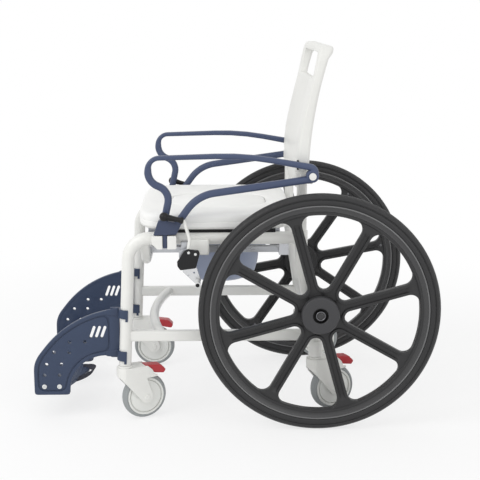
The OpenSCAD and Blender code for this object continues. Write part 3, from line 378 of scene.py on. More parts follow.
def add(name, shapes, finish, body, stands_for=(), crease=CREASE):
    """Makes one object of closed shapes, which rides on a body and stands for CAD nodes."""
    points, faces, base = [], [], 0
    for p, fs in map(outward, shapes):
        points.append(p)
        faces += [face for f in fs for face in (f + base).tolist()]
        base += len(p)
    mesh = bpy.data.meshes.new(name)
    mesh.from_pydata(((np.vstack(points) + AXLE_Y * Y) * 0.001).tolist(), [], faces)
    mesh.validate()
    mesh.shade_smooth()
    mesh.set_sharp_from_angle(angle=math.radians(crease))
    obj = bpy.data.objects.new(name, mesh)
    bpy.context.scene.collection.objects.link(obj)
    mesh.materials.append(LOOK[finish])
    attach(obj, body)
    if stands_for:
        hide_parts(*stands_for)
    return obj


def add_side(side, name, shapes, finish, body, stands_for=(), crease=CREASE):
    """One of a pair: shapes drawn for the left, mirrored for the right; {} in a name takes the side."""
    made = shapes if side == "left" else [mirrored(s) for s in shapes]
    add(name.format(side), made, finish, body.format(side), [n.format(side) for n in stands_for], crease)


def both(name, shapes, finish, body, stands_for=()):
    """A left piece and its mirror image."""
    for side in ("left", "right"):
        add_side(side, name, shapes, finish, body, stands_for)


# Materials


def linear(rgb):
    """Screen colour 0 to 255 as linear light."""
    c = np.asarray(rgb) / 255
    return (*np.where(c < 0.04045, c / 12.92, ((c + 0.055) / 1.055) ** 2.4), 1)


def put(tree, value, socket):
    """Links a socket's source, or sets its value."""
    if isinstance(value, bpy.types.NodeSocket):
        tree.links.new(value, socket)
    else:
        socket.default_value = value


def math_node(tree, operation, *values):
    """Result of one operation on sockets or numbers."""
    n = tree.nodes.new("ShaderNodeMath")
    n.operation = operation
    for k, v in enumerate(values):
        put(tree, v, n.inputs[k])
    return n.outputs[0]


def noise(tree, scale, detail=3.0, stretch=None):
    """Noise from 0 to 1 on object coordinates; scale is a socket or a number."""
    place = tree.nodes.new("ShaderNodeTexCoord").outputs["Object"]
    if stretch:
        m = tree.nodes.new("ShaderNodeMapping")
        m.inputs["Scale"].default_value = stretch
        tree.links.new(place, m.inputs["Vector"])
        place = m.outputs["Vector"]
    n = tree.nodes.new("ShaderNodeTexNoise")
    n.inputs["Detail"].default_value = detail
    tree.links.new(place, n.inputs["Vector"])
    put(tree, scale, n.inputs["Scale"])
    return n.outputs["Fac"]


def off_middle(tree, scale, detail=3.0, stretch=None):
    """Noise less 0.5, so that it lies about nothing."""
    return math_node(tree, "SUBTRACT", noise(tree, scale, detail, stretch), 0.5)


def new_group(name, inputs, output, kind):
    """Shader node group with number or colour inputs and one output."""
    g = bpy.data.node_groups.new(name, "ShaderNodeTree")
    for label, value in inputs.items():
        socket_type = "NodeSocketColor" if isinstance(value, tuple) else "NodeSocketFloat"
        socket = g.interface.new_socket(label, in_out="INPUT", socket_type=socket_type)
        socket.default_value = value
    g.interface.new_socket(output, in_out="OUTPUT", socket_type=kind)
    return g, g.nodes.new("NodeGroupInput"), g.nodes.new("NodeGroupOutput")


def put_bump(tree, height, depth, normal):
    """Bump of a height pattern and a depth, put into a Normal socket."""
    bump = tree.nodes.new("ShaderNodeBump")
    put(tree, height, bump.inputs["Height"])
    put(tree, depth, bump.inputs["Distance"])
    put(tree, bump.outputs["Normal"], normal)


def tone_group():
    """Base colour with its value times 1 + 4 Spread (noise - 0.5)."""
    inputs = {"Colour": (1.0, 1.0, 1.0, 1.0), "Spread": 0.05, "Scale": 9.0}
    g, i, o = new_group("tone", inputs, "Colour", "NodeSocketColor")
    wander = math_node(g, "MULTIPLY", off_middle(g, i.outputs["Scale"]), i.outputs["Spread"])
    hsv = g.nodes.new("ShaderNodeHueSaturation")
    put(g, math_node(g, "MULTIPLY_ADD", wander, 4.0, 1.0), hsv.inputs["Value"])
    put(g, i.outputs["Colour"], hsv.inputs["Color"])
    put(g, hsv.outputs["Color"], o.inputs["Colour"])
    return g


def wear_group():
    """Roughness: Base + Spread (soft patches + half of fine streaks), both noise about nothing."""
    g, i, o = new_group("wear", {"Base": 0.4, "Spread": 0.1, "Scale": 14.0}, "Roughness", "NodeSocketFloat")
    patch = off_middle(g, i.outputs["Scale"], 4.0)
    streak = off_middle(g, 60.0, 2.0, (1.0, 1.0, 9.0))
    rubbed = math_node(g, "MULTIPLY_ADD", streak, 0.5, patch)
    rough = math_node(g, "MULTIPLY_ADD", rubbed, i.outputs["Spread"], i.outputs["Base"])
    put(g, rough, o.inputs["Roughness"])
    return g


def grain_group():
    """Normal of a fine moulded or sprayed grain: noise of a scale as its height, times Depth."""
    g, i, o = new_group("grain", {"Scale": 900.0, "Depth": 0.00002}, "Normal", "NodeSocketVector")
    put_bump(g, noise(g, i.outputs["Scale"], 2.0), i.outputs["Depth"], o.inputs["Normal"])
    return g


def weave_group():
    """Normal of a plain weave: sin(2 pi x / pitch) sin(2 pi z / pitch) as its height."""
    g, i, o = new_group("weave", {"Pitch": 0.0024, "Depth": 0.0003}, "Normal", "NodeSocketVector")
    split = g.nodes.new("ShaderNodeSeparateXYZ")
    put(g, g.nodes.new("ShaderNodeTexCoord").outputs["Object"], split.inputs[0])
    turns = math_node(g, "DIVIDE", 2 * math.pi, i.outputs["Pitch"])
    waves = [math_node(g, "SINE", math_node(g, "MULTIPLY", split.outputs[a], turns)) for a in ("X", "Z")]
    put_bump(g, math_node(g, "MULTIPLY", *waves), i.outputs["Depth"], o.inputs["Normal"])
    return g


GROUPS = {"tone": tone_group(), "wear": wear_group(), "grain": grain_group(), "weave": weave_group()}
LOOK = {}


def use(tree, name, **values):
    """Output of a shared group placed in a material with its own values."""
    n = tree.nodes.new("ShaderNodeGroup")
    n.node_tree = GROUPS[name]
    for label, v in values.items():
        put(tree, v, n.inputs[label])
    return n.outputs[0]


def look(name, rgb, rough, spread=0.12, tone=0.03, grain=900.0, depth=1.5e-5, **sockets):
    """Material of one finish: shared tone, wear and grain groups on a principled shader."""
    m = bpy.data.materials.new(name)
    m.use_nodes = True
    t = m.node_tree
    shader = t.nodes["Principled BSDF"]
    put(t, use(t, "tone", Colour=linear(rgb), Spread=tone), shader.inputs["Base Color"])
    put(t, use(t, "wear", Base=rough, Spread=spread), shader.inputs["Roughness"])
    put(t, use(t, "grain", Scale=grain, Depth=depth), shader.inputs["Normal"])
    for label, v in sockets.items():
        shader.inputs[label.replace("_", " ")].default_value = v
    LOOK[name] = m
    return t


look("frame_paint", (232, 232, 228), 0.34, grain=420.0, depth=2.5e-5, Coat_Weight=0.25, Coat_Roughness=0.2)
look("white_moulding", (234, 234, 230), 0.42, grain=1100.0)
look("back_white", (229, 229, 225), 0.42, grain=1100.0)
look("seat_foam", (244, 244, 242), 0.55, grain=700.0, depth=4e-5)
look("black_rubber", (28, 28, 30), 0.7, grain=500.0, depth=3e-5, Specular_IOR_Level=0.25)
look("zinc_steel", (188, 190, 194), 0.32, spread=0.25, tone=0.06, Metallic=1.0)
look("bright_steel", (214, 215, 217), 0.2, spread=0.15, Metallic=1.0)
look("dark_steel", (104, 104, 107), 0.24, spread=0.15, Metallic=1.0)
look("black_plastic", (26, 26, 28), 0.4, grain=1000.0, Specular_IOR_Level=0.3)
# Lining of the cap's hole: black, and drawn darker than the other black plastics as painted shade in the hole
look("recess_black_and_painted_shade", (12, 12, 13), 0.4, Specular_IOR_Level=0.2)
look("charcoal_plastic", (50, 50, 51), 0.42, tone=0.05, depth=2.5e-5, Specular_IOR_Level=0.3)
look("button_black", (40, 40, 42), 0.22, spread=0.05, Specular_IOR_Level=0.6)
# Rim band: the wheel's charcoal drawn lighter, a painted sheen standing for the band's gloss
look("rim_charcoal_painted_sheen", (66, 66, 67), 0.3, tone=0.05, depth=2e-5, Specular_IOR_Level=0.4)
look("cap_charcoal", (64, 64, 66), 0.42, depth=2e-5, Specular_IOR_Level=0.3)
# Beads: charcoal drawn much lighter, a painted highlight, with real gloss on top
look("bead_painted_highlight", (94, 94, 95), 0.2, spread=0.06, Specular_IOR_Level=0.8)
look("tyre_rubber", (49, 49, 50), 0.45, tone=0.08, grain=600.0, depth=3e-5, Specular_IOR_Level=0.3)
look("caster_rubber", (150, 154, 155), 0.6, tone=0.06)
look("caster_disc", (232, 233, 229), 0.4)
look("red_plastic", (182, 48, 56), 0.36, tone=0.04)
look("navy_plastic", (55, 67, 91), 0.36, tone=0.04, grain=800.0, depth=2.5e-5, Specular_IOR_Level=0.35)
look("foot_navy", (63, 72, 96), 0.42, tone=0.04, grain=800.0, depth=2.5e-5, Specular_IOR_Level=0.35)
look("blue_plastic", (68, 79, 107), 0.4, tone=0.04, grain=800.0, depth=2.5e-5, Specular_IOR_Level=0.4)
strap_finish = look("strap_webbing", (66, 67, 76), 0.8, tone=0.06, Specular_IOR_Level=0.2)
put(strap_finish, use(strap_finish, "weave"), strap_finish.nodes["Principled BSDF"].inputs["Normal"])
look("pan_plastic", (160, 170, 194), 0.35, Transmission_Weight=0.15)
look("bolt_white", (222, 223, 222), 0.35)

# Side frame that other pieces sit on

FRAME_X = joint_at("caster_swivel_front_left")[0]
RAIL_Z = 484.0

# Drive wheels, with profiles of (radius, distance outwards from the wheel's middle plane)

WHEEL = joint_at("drive_spin_left")
WHEEL_R = WHEEL[2]
TYRE_H = 22.0
TYRE_SEAT = WHEEL_R - TYRE_H
RIM_H = 31.0
RIM_IN = TYRE_SEAT - RIM_H
# Turn of each wheel at rest
WHEEL_TURN = {"left": 15.4, "right": 10.5}
# Points round a ring of the hub, and round one of the rim
HUB_STEPS = 192
RIM_STEPS = 288


def wheel_ring(profile, edge, steps):
    """Ring about the drive axle, from a profile whose corners are rounded by edge."""
    return turned(profile, edge, WHEEL, X, steps)


# Spokes

SPOKES = 8
SPOKE_HALF = 13.5
# Half depth of a spoke, and the round of its edges
SPOKE_DEEP = 9.0
SPOKE_EDGE = 2.2
# Width of the rib along each edge, and depth of the channel between the ribs
SPOKE_RIB = 6.6
CHANNEL_DEEP = 5.6
# Wall of the channel: distance past the rib, share of the channel's depth
CHANNEL_WALL = np.array([[0, 0], [0.4, 0.12], [1, 0.88], [1.4, 1]])
# Distances inside the rim at which the channel ends and has its full depth
CHANNEL_END = 14.0
CHANNEL_FULL = 30.0
# Radii of the windows' rounds at the hub and at the rim
HUB_ROUND = 17.2
RIM_ROUND = 24.0
# Radius at which a spoke starts inside the hub, and how far it runs into the rim
SPOKE_START = 46.0
SPOKE_SINK = 3.0
# How far neighbouring spokes lap at the hub, and the gap that their lines keep there
SPOKE_LAP = 0.3
LINE_GAP = 0.04
# Slope of half a sector, and how far along a spoke the middles of a window's inner and outer rounds lie
SECTOR = math.tan(math.pi / SPOKES)
WINDOW = (HUB_ROUND + SPOKE_HALF) / SECTOR
RIM_TURN = math.sqrt((RIM_IN - RIM_ROUND) ** 2 - (SPOKE_HALF + RIM_ROUND) ** 2)


def spoke(angle):
    """Spoke at an angle in radians: rows at radius u of points at set distances e from the windows' edges.

    The edge of a window is straight along the spoke and turns in an arc at the hub and at the rim, so a
    line at distance e from it lies at half + round - sqrt((round + e)^2 - (way into the arc)^2) from the
    spoke's middle. Corners are quarter rounds, a rib stands along each edge, and the channel between runs
    out into the hub.
    """
    u = np.linspace(SPOKE_START, RIM_IN + SPOKE_SINK, 110)[:, None]
    turn = np.radians(np.linspace(90, 0, 5))
    e = np.r_[SPOKE_EDGE * (1 - np.sin(turn)), SPOKE_RIB + CHANNEL_WALL[:, 0]]
    lines = []
    for into, arc_r in ((WINDOW - u, HUB_ROUND), (u - RIM_TURN, RIM_ROUND)):
        left = np.maximum((arc_r + e) ** 2 - np.maximum(into, 0) ** 2, 0)
        lines.append(SPOKE_HALF + arc_r - np.sqrt(left))
    across = np.minimum(np.maximum(*lines), u * SECTOR + SPOKE_LAP - LINE_GAP * np.arange(len(e)))
    across = np.c_[across, 0.5 * across[:, -1:], 0 * u]
    shown = smooth_step(RIM_IN - CHANNEL_END, RIM_IN - CHANNEL_FULL, u)
    low = np.r_[SPOKE_EDGE * (1 - np.cos(turn)), np.zeros(len(CHANNEL_WALL) + 2)]
    low = low + shown * CHANNEL_DEEP * np.r_[0 * turn, CHANNEL_WALL[:, 1], 1, 1]
    face = np.stack([SPOKE_DEEP - low, np.broadcast_to(u, across.shape), across], -1)
    front = np.concatenate([face, face[:, -2::-1] * [1, 1, -1]], 1)
    out, along, across = np.moveaxis(np.concatenate([front, front[:, ::-1] * [-1, 1, 1]], 1), -1, 0)
    ca, sa = math.cos(angle), math.sin(angle)
    return tube(WHEEL + np.stack([out, along * ca - across * sa, along * sa + across * ca], -1))


# Tyre

# Radius of the tread's crown, and the angle it reaches to each side
TREAD_R = 18.0
TREAD_TURN = 55.0
# Flank from the rim outwards: height over the seat, half width, with a groove under the shoulder
FLANK = np.array([[-6, 12], [-5.6, 13.6], [-4, 14.5], [5.4, 14.9], [6.2, 14.4], [6.9, 12.6], [8.5, 12.6],
                  [9.2, 14.2], [10.2, 14.9]]) + [TYRE_SEAT, 0]
# Ring grooves: distance from the middle, width, depth, and how far below the crown they may lie
RING_AT = 4.5
RING_WIDE = 0.9
RING_DEEP = 0.9
RING_BAND = 5.0
# Slanted cuts: number, slant in radians of their wave per millimetre, depth, and the band they may lie in
CUTS = 90
CUT_SLANT = 0.35
CUT_DEEP = 0.8
CUT_BAND = 8.0
# Heights of the wave at which a cut starts and is full, and distances from the middle likewise
CUT_WAVE = (0.55, 0.85)
CUT_FROM = (6.5, 8.0)


def tyre():
    """Crowned section turned about the axle, less ring grooves, which are bell curves, and slanted cuts.

    The cuts are where sin(CUTS angle + slant |distance from the middle|) is high.
    """
    crown = arc((WHEEL_R - TREAD_R, 0), TREAD_R, -TREAD_TURN, TREAD_TURN, 61)
    section = np.vstack([FLANK * [1, -1], crown, FLANK[::-1]])
    angle = np.linspace(0, 2 * np.pi, 720, endpoint=False)[:, None]
    r, c = section[:, 0][None], section[:, 1][None]
    ring_cut = np.exp(-(((np.abs(c) - RING_AT) / RING_WIDE) ** 2)) * (r > WHEEL_R - RING_BAND)
    wave = np.sin(CUTS * angle + CUT_SLANT * np.abs(c))
    cut = smooth_step(*CUT_WAVE, wave) * smooth_step(*CUT_FROM, np.abs(c)) * (r > WHEEL_R - CUT_BAND)
    r = r - RING_DEEP * ring_cut - CUT_DEEP * cut
    return grid(WHEEL + np.stack([c * np.ones_like(angle), r * np.cos(angle), r * np.sin(angle)], -1))


# Rim

# Half width at the inner edge
RIM_HALF = 8.5
# Side face: how far over the inner edge it starts, its height, half width there, its growth and its hollow
FACE_FROM = 3.0
FACE_H = 19.0
FACE_HALF = 12.4
FACE_GROWS = 0.8
FACE_HOLLOW = 3.4
# Step under the tyre's lip: how far under the tyre's seat it starts, and its half width
STEP_UNDER = 7.6
STEP_HALF = 10.0
# Round beads beside the tyre, glossy and drawn light grey as a painted highlight along the rim's edge:
# diameter, distance under the tyre's seat, distance from the middle
BEAD_D = 4.4
BEAD_UNDER = 8.6
BEAD_OUT = 12.6
# Lip along the rim's inner edge: height over that edge, half width
RIM_LIP = both_faces(np.array([[-0.5, 8.2], [2.5, 12.9], [8, 12.9], [9, 9]]) + [RIM_IN, 0])


def rim_section():
    """Section with side faces hollowed by FACE_HOLLOW (1 - (2 t - 1)^2), and a step under the tyre's lip."""
    t = np.linspace(0, 1, 9)
    hollow = FACE_HOLLOW * (1 - (2 * t - 1) ** 2)
    face = np.stack([RIM_IN + FACE_FROM + FACE_H * t, FACE_HALF + FACE_GROWS * t - hollow], 1)
    step = [[TYRE_SEAT - STEP_UNDER, STEP_HALF], [TYRE_SEAT + 0.4, STEP_HALF]]
    return both_faces(np.vstack([[[RIM_IN, RIM_HALF]], face, step]))


# Hub, cap and release button, with heights from the hub's outer end

cap_low, cap_high = node_box("hub_cap_left")
HUB_OUT = cap_low[0] - WHEEL[0]
HUB_BORE = 16.0
CAP_R = cap_high[1]
CAP_HOLE = 19.0
RECESS_R = CAP_HOLE - 0.1
BUTTON_R = 12.5


def from_hub(profile):
    """Profile moved to the hub's outer end."""
    return np.array(profile, float) + [0, HUB_OUT]


HUB = from_hub([[HUB_BORE, -36], [31, -36], [33, -31], [50, -31], [52, -23], [52, -17], [49, -16.6], [46, 0],
                [HUB_BORE, 0]])
CAP = from_hub([[CAP_HOLE, 0], [CAP_R, -10], [CAP_R, 6], [45, 9.4], [32, 10], [21, 10], [CAP_HOLE, 8]])
# Lining of the cap's hole, 0.1 inside its wall, which carries the painted shade of the hole
RECESS = from_hub([[4, 0.2], [RECESS_R, 0.2], [RECESS_R, 8.6], [17.2, 8.6], [16.6, 0.9], [4, 0.9]])
BUTTON = from_hub([[0, 5.3], [BUTTON_R, 5.3], [BUTTON_R, 7.4], [8.8, 7.4], [8.4, 8.6], [5, 9.2], [0, 9.4]])
BUTTON_RING = from_hub([[9.2, 7], [12.3, 7], [12.3, 9], [11.6, 9.6], [9.9, 9.6], [9.2, 9]])
BUTTON_STEM = from_hub(barrel(3, -10, 6))
# Bolt at a spoke's outer end, on the wheel's inner side, and the radius that the bolts stand at
SPOKE_BOLT = [[0, 8.4], [4.2, 8.4], [4.2, 10], [3.2, 10.8], [0, 11]]
BOLT_R = RIM_IN - 6

hub = [wheel_ring(HUB, 2, HUB_STEPS), wheel_ring(RIM_LIP, 1.2, RIM_STEPS)]
rim = [wheel_ring(rim_section(), 1.2, RIM_STEPS)]
bead = oval(BEAD_D, BEAD_D, 2, 20)
beads = [revolve(bead + [TYRE_SEAT - BEAD_UNDER, c], WHEEL, X, RIM_STEPS) for c in (-BEAD_OUT, BEAD_OUT)]
tread = [tyre()]
cap = [wheel_ring(CAP, 1.4, HUB_STEPS)]
recess = [wheel_ring(RECESS, 0.4, HUB_STEPS)]
button = [wheel_ring(BUTTON, 0.5, 48), wheel_ring(BUTTON_STEM, 0.4, 24)]
button_ring = [wheel_ring(BUTTON_RING, 0.4, 64)]
for side, turn in WHEEL_TURN.items():
    angles = np.radians(turn) + np.arange(SPOKES) * 2 * np.pi / SPOKES
    bolts_at = [WHEEL + BOLT_R * np.array([0, math.cos(a), math.sin(a)]) for a in angles]
    wheel = hub + [spoke(a) for a in angles]
    bolts = [turned(SPOKE_BOLT, 0.3, at, -X, 20) for at in bolts_at]
    add_side(side, "wheel_looks_{}", wheel, "charcoal_plastic", "drive_wheel_{}", ["wheel_{}"])
    # Rim band in the lighter charcoal of a painted sheen
    add_side(side, "rim_looks_{}", rim, "rim_charcoal_painted_sheen", "drive_wheel_{}")
    # Beads in the light grey of a painted highlight
    add_side(side, "rim_beads_{}", beads, "bead_painted_highlight", "drive_wheel_{}")
    add_side(side, "tyre_looks_{}", tread, "tyre_rubber", "drive_wheel_{}", ["tyre_{}"], SOFT_CREASE)
    add_side(side, "hub_cap_looks_{}", cap, "cap_charcoal", "drive_wheel_{}", ["hub_cap_{}"])
    # Hole lining in near-black: black plastic with painted shade
    add_side(side, "cap_recess_{}", recess, "recess_black_and_painted_shade", "drive_wheel_{}")
    add_side(side, "spoke_bolts_{}", bolts, "dark_steel", "drive_wheel_{}")
    add_side(side, "release_button_looks_{}", button, "button_black", "release_button_{}",
             ["release_button_{}"])
    add_side(side, "button_ring_{}", button_ring, "dark_steel", "release_button_{}")

# Casters, drawn about their stem with the wheel trailing along local Y

CASTERS = ("front_left", "front_right", "rear_left", "rear_right")
CASTER_R = joint_at("caster_spin_front_left")[2]
TRAIL = 50.0
CASTER_AXLE = np.array([TRAIL, CASTER_R])
AXLE_R = 5.0
FORK_TOP = joint_at("caster_swivel_front_left")[2]
# Top and underside of the hood, and the boss on it
CROWN = FORK_TOP - 5
HOOD_LOW = 2 * CASTER_R + 3
BOSS_R = 19.0
# Inner and outer side of a cheek, and the radius of its round end about the axle
CHEEK_IN = 19.0
CHEEK_OUT = 24.0
CHEEK_R = 17.0
FORK_EDGE = 1.8
# Cheek from its front foot over the hood and down to the lip behind the pedal, then round the axle
CHEEK_FOOT = np.array([-10.0, 106.0])
CHEEK_CORNERS = [CHEEK_FOOT, [CHEEK_FOOT[0], CROWN], [53, CROWN], [66, CROWN - 12], [71, 120.5], [80, 118],
                 [80, 113.6], [51, 111.5]]
CHEEK_ROUNDS = [0, 2, 5, 8, 4, 2.1, 2.1, 8]
CHEEK = np.vstack([rounded(CHEEK_CORNERS, CHEEK_ROUNDS), arc(CASTER_AXLE, CHEEK_R, 17, -140, 30)])
# Hood from above: round in front, straight between the cheeks behind
HOOD_R = CHEEK_OUT - 0.4
HOOD_BACK = 22.0
HOOD = np.vstack([arc((0, 0), HOOD_R, 180, 360, 40), [[HOOD_R, HOOD_BACK], [-HOOD_R, HOOD_BACK]]])
APRON = np.vstack([arc((0, 0), HOOD_R, 190, 350, 40), arc((0, 0), CHEEK_IN - 1, 350, 190, 40)])
# Roof between the cheeks behind the hood: its ends along the trail, and its thickness
ROOF_START = 18.0
ROOF_END = 48.0
ROOF_T = 2.8
# Pivot of the brake pedal, and the pedal's tread and outline from there
PEDAL = np.array([TRAIL - 18, FORK_TOP - 16])
PEDAL_HALF = 15.0
PEDAL_TREAD = np.array([[22, 10.2], [61, 6], [75, -8]])
PEDAL_CORNERS = [[-5, 0], [0, 5.5], [16, 6.8], *PEDAL_TREAD, [69, -17], [44, -13], [30, -4], [0, -5]]
PEDAL_OUTLINE = about(PEDAL, PEDAL_CORNERS, [3, 4, 4, 4, 9, 4, 4, 6, 9, 3])
# Ridges across the pedal's tread: places behind the pivot, half length, depth in the tread, diameter
RIDGES = np.arange(34, 74, 6.0)
RIDGE_HALF = 12.0
RIDGE_SINK = 0.4
RIDGE_D = 2.4
# Tyre: radius of its crown, the angle it reaches, and the shoulder down to the disc
CASTER_CROWN = 21.0
CASTER_TURN = 42.0
SHOULDER = np.array([[52, 14.6], [49.6, 12.5]])
# Disc from the axle's bore outwards, with a groove before its edge
DISC = np.array([[AXLE_R + 0.05, 18], [14, 18], [17, 14.2], [41.5, 13.2], [42.2, 12.4], [42.2, 9], [44.6, 9],
                 [44.6, 13.4], [45.2, 14.2], [49.4, 14.4], [50.2, 13]])


def apron():
    """Half ring of height 1, stretched from the line of the cheeks' front edges up into the hood."""
    p, faces = plate(APRON, 0.5, 0.12)
    slope = (CHEEK_FOOT[1] - CHEEK[-1, 1]) / (CHEEK_FOOT[0] - CHEEK[-1, 0])
    low = CHEEK_FOOT[1] + slope * (p[:, 1] - CHEEK_FOOT[0])
    high = HOOD_LOW + 3
    return np.c_[p[:, :2], low + (p[:, 2] + 0.5) * (high - low)], faces


def caster_ring(profile, edge, steps):
    """Ring about the caster's axle, from a profile of (radius, distance sideways)."""
    return turned(profile, edge, (0, *CASTER_AXLE), X, steps)


def at_caster(shapes, name):
    """Caster shapes moved to their stem, turned so that local X lies along the wheel's axle."""
    ax = np.array(JOINT[f"caster_spin_{name}"]["axis"], float)
    stem = joint_at(f"caster_swivel_{name}") * [1, 1, 0]
    lift = joint_at(f"caster_spin_{name}")[2] - CASTER_R
    behind = np.cross(Z, ax)
    return [(stem + p[:, :1] * ax + p[:, 1:2] * behind + (p[:, 2:] + lift) * Z, f) for p, f in shapes]


fork = [slab(CHEEK, *sorted((s * CHEEK_IN, s * CHEEK_OUT)), FORK_EDGE) for s in (-1, 1)]
fork += [layer(HOOD, HOOD_LOW, CROWN, FORK_EDGE, steps=6), apron()]
fork += [block((-CHEEK_IN - 1, ROOF_START, CROWN - ROOF_T - SUNK), (CHEEK_IN + 1, ROOF_END, CROWN - SUNK), 1)]
fork += [turned(barrel(BOSS_R, CROWN - 2, FORK_TOP - 0.6), 1.2, (0, 0, 0), Z)]
for s in (-1, 1):
    fork.append(bolt_head((s * CHEEK_OUT, *CASTER_AXLE), s * X, d=16, t=2, socket=0.05))
    fork.append(bolt_head((s * CHEEK_OUT, *PEDAL), s * X, d=7, t=0.8, socket=0.05))
axle = [caster_ring(barrel(AXLE_R, -CHEEK_OUT, CHEEK_OUT), 0.3, 32)]
caster_crown = arc((CASTER_R - CASTER_CROWN, 0), CASTER_CROWN, -CASTER_TURN, CASTER_TURN, 21)
caster_tyre = [caster_ring(np.vstack([SHOULDER[::-1] * [1, -1], caster_crown, SHOULDER]), 0.8, 120)]
caster_disc = [caster_ring(both_faces(DISC), 0.5, 120)]
pedal = [slab(PEDAL_OUTLINE, -PEDAL_HALF, PEDAL_HALF, 1.5)]
pedal += [turned(barrel(7, -PEDAL_HALF - 1, PEDAL_HALF + 1, bore=3.05), 0.6, (0, *PEDAL), X, 32)]
for y in RIDGES:
    ridge_z = np.interp(y, *PEDAL_TREAD.T) - RIDGE_SINK
    ridge = crossbar(np.linspace(-RIDGE_HALF, RIDGE_HALF, 9), PEDAL[0] + y, PEDAL[1] + ridge_z)
    pedal.append(sweep(ridge, oval(RIDGE_D, RIDGE_D, 2, 12), Z))
for name in CASTERS:
    fork_body, wheel_body, pedal_body = f"caster_fork_{name}", f"caster_wheel_{name}", f"brake_pedal_{name}"
    add(f"fork_looks_{name}", at_caster(fork, name), "white_moulding", fork_body, [fork_body])
    add(f"caster_axle_{name}", at_caster(axle, name), "zinc_steel", fork_body)
    add(f"caster_tyre_{name}", at_caster(caster_tyre, name), "caster_rubber", wheel_body, [wheel_body])
    add(f"caster_disc_{name}", at_caster(caster_disc, name), "caster_disc", wheel_body)
    add(f"pedal_looks_{name}", at_caster(pedal, name), "red_plastic", pedal_body, [pedal_body])

# Armrests

PIVOT = joint_at("armrest_lift_left")
ARM_X = PIVOT[0]
# Bar from its foot up to the pivot, along the top to the front corner and back down to the foot
ARM_PATH = [[-356, 528], [-305, 599], PIVOT[1:] + [6, -7], PIVOT[1:] + [6, 20], [-190, 698.5], [-425, 692],
            [-428, 634], [-372, 610], [-388, 534]]
ARM_ROUNDS = [0, 128, 13, 13, 700, 28, 38, 38, 0]
# Section of the bar: height and width, and how much lower it is along the top, at the front and the back
ARM_H = 18.5
ARM_W = 20.0
FLAT_FRONT = 6.5
FLAT_BACK = 4.0
# Places between which that changes, and heights between which it sets in
FLAT_Y = (-420.0, -150.0)
FLAT_Z = (652.0, 690.0)
# Foot block, and the tongue that it stands with in the receiver
ARM_FOOT = [[-416, 499], [-402, 539], [-344, 530], [-358, 502]]
ARM_TONGUE_LOW = (ARM_X - 1, -392.5, 466.5)
ARM_TONGUE_HIGH = (ARM_X + 6, -381.5, 502)

bar = in_side(evenly(rounded(ARM_PATH, ARM_ROUNDS, False, 5), 3), ARM_X)
flat = FLAT_FRONT + (FLAT_BACK - FLAT_FRONT) * smooth_step(*FLAT_Y, bar[:, 1])
flat = flat * smooth_step(*FLAT_Z, bar[:, 2])
bar_section = oval(1, ARM_W, 2.7, 36) * np.stack([ARM_H - flat, 0 * flat + 1], 1)[:, None]
arm = [sweep(bar, bar_section, X)]
arm += [turned(barrel(16, -11, 11, bore=6.1), 3.5, PIVOT, X, 48)]
both("armrest_looks_{}", arm, "blue_plastic", "armrest_{}", ["armrest_{}"])
foot = [slab(rounded(ARM_FOOT, [3, 7, 7, 3]), ARM_X - ARM_W / 2, ARM_X + ARM_W / 2, 2.5)]
foot += [block(ARM_TONGUE_LOW, ARM_TONGUE_HIGH, 1)]
both("armrest_foot_looks_{}", foot, "foot_navy", "armrest_{}", ["armrest_foot_{}"])

# Receiver of the armrest on the rail: a body, a front wall, and an outer face that is open for the tongue

receiver_low, receiver_high = node_box("armrest_sockets")
RECEIVER_IN = 245.0
RECEIVER_OUT = receiver_high[0]
RECEIVER_FRONT = receiver_low[1]
RECEIVER_BACK = receiver_high[1]
RECEIVER_LOW = receiver_low[2]
RECEIVER_TOP = receiver_high[2]
CHAMFER = 14.0
GATE_FRONT = -393.2
GATE_BACK = -380.8
nose = [[RECEIVER_FRONT, RECEIVER_LOW + CHAMFER], [RECEIVER_FRONT + CHAMFER, RECEIVER_LOW]]
front_top = [RECEIVER_FRONT, RECEIVER_TOP]
wall_front = RECEIVER_FRONT + 0.4
wall_back = RECEIVER_FRONT + 10
body_outline = [*nose, [RECEIVER_BACK, RECEIVER_LOW], [RECEIVER_BACK, RECEIVER_TOP], front_top]
wall_outline = [[wall_front, RECEIVER_LOW + 14.2], [wall_back, RECEIVER_LOW + 4.2],
                [wall_back, RECEIVER_TOP - SUNK], [wall_front, RECEIVER_TOP - SUNK]]
face_outline = [*nose, [GATE_FRONT, RECEIVER_LOW], [GATE_FRONT, RECEIVER_TOP], front_top]
rear_outline = [[GATE_BACK, RECEIVER_LOW], [RECEIVER_BACK, RECEIVER_LOW], [RECEIVER_BACK, RECEIVER_TOP],
                [GATE_BACK, RECEIVER_TOP]]
receiver = [
    slab(rounded(body_outline, 3), RECEIVER_IN, RECEIVER_IN + 16, 1.5),
    slab(rounded(wall_outline, 2), RECEIVER_IN + 9, RECEIVER_OUT - 0.5, 1.5),
    slab(rounded(face_outline, [3, 3, 1, 1, 3]), RECEIVER_OUT - 3.5, RECEIVER_OUT, 0.9),
    slab(rounded(rear_outline, [1, 4, 3, 1]), RECEIVER_IN, RECEIVER_OUT, 0.9),
]
add("armrest_receivers", pair(receiver), "white_moulding", "frame", ["armrest_sockets"])

# Backrest

back_low, back_high = node_box("back_shell")
BACK_LOW = back_low[2]
BACK_HIGH = back_high[2]
BACK_HALF = back_high[0]
BACK_T = 32.0
# Middle of the shell: its place at the lower edge, its lean in a straight line and its curl at the top
BACK_Y = -43.0
BACK_LEAN = 7.0
BACK_CURL = 48.0
# Tongue between the posts below the shell, and the step from it to the shell
TONGUE_LOW = 606.0
TONGUE_HALF = 204.0
TONGUE_FLARE = 7.0
SHELL_LOW = BACK_LOW + 2
BACK_ROUNDS = [26, 8, 22, 40]
BACK_EDGE = 8.5
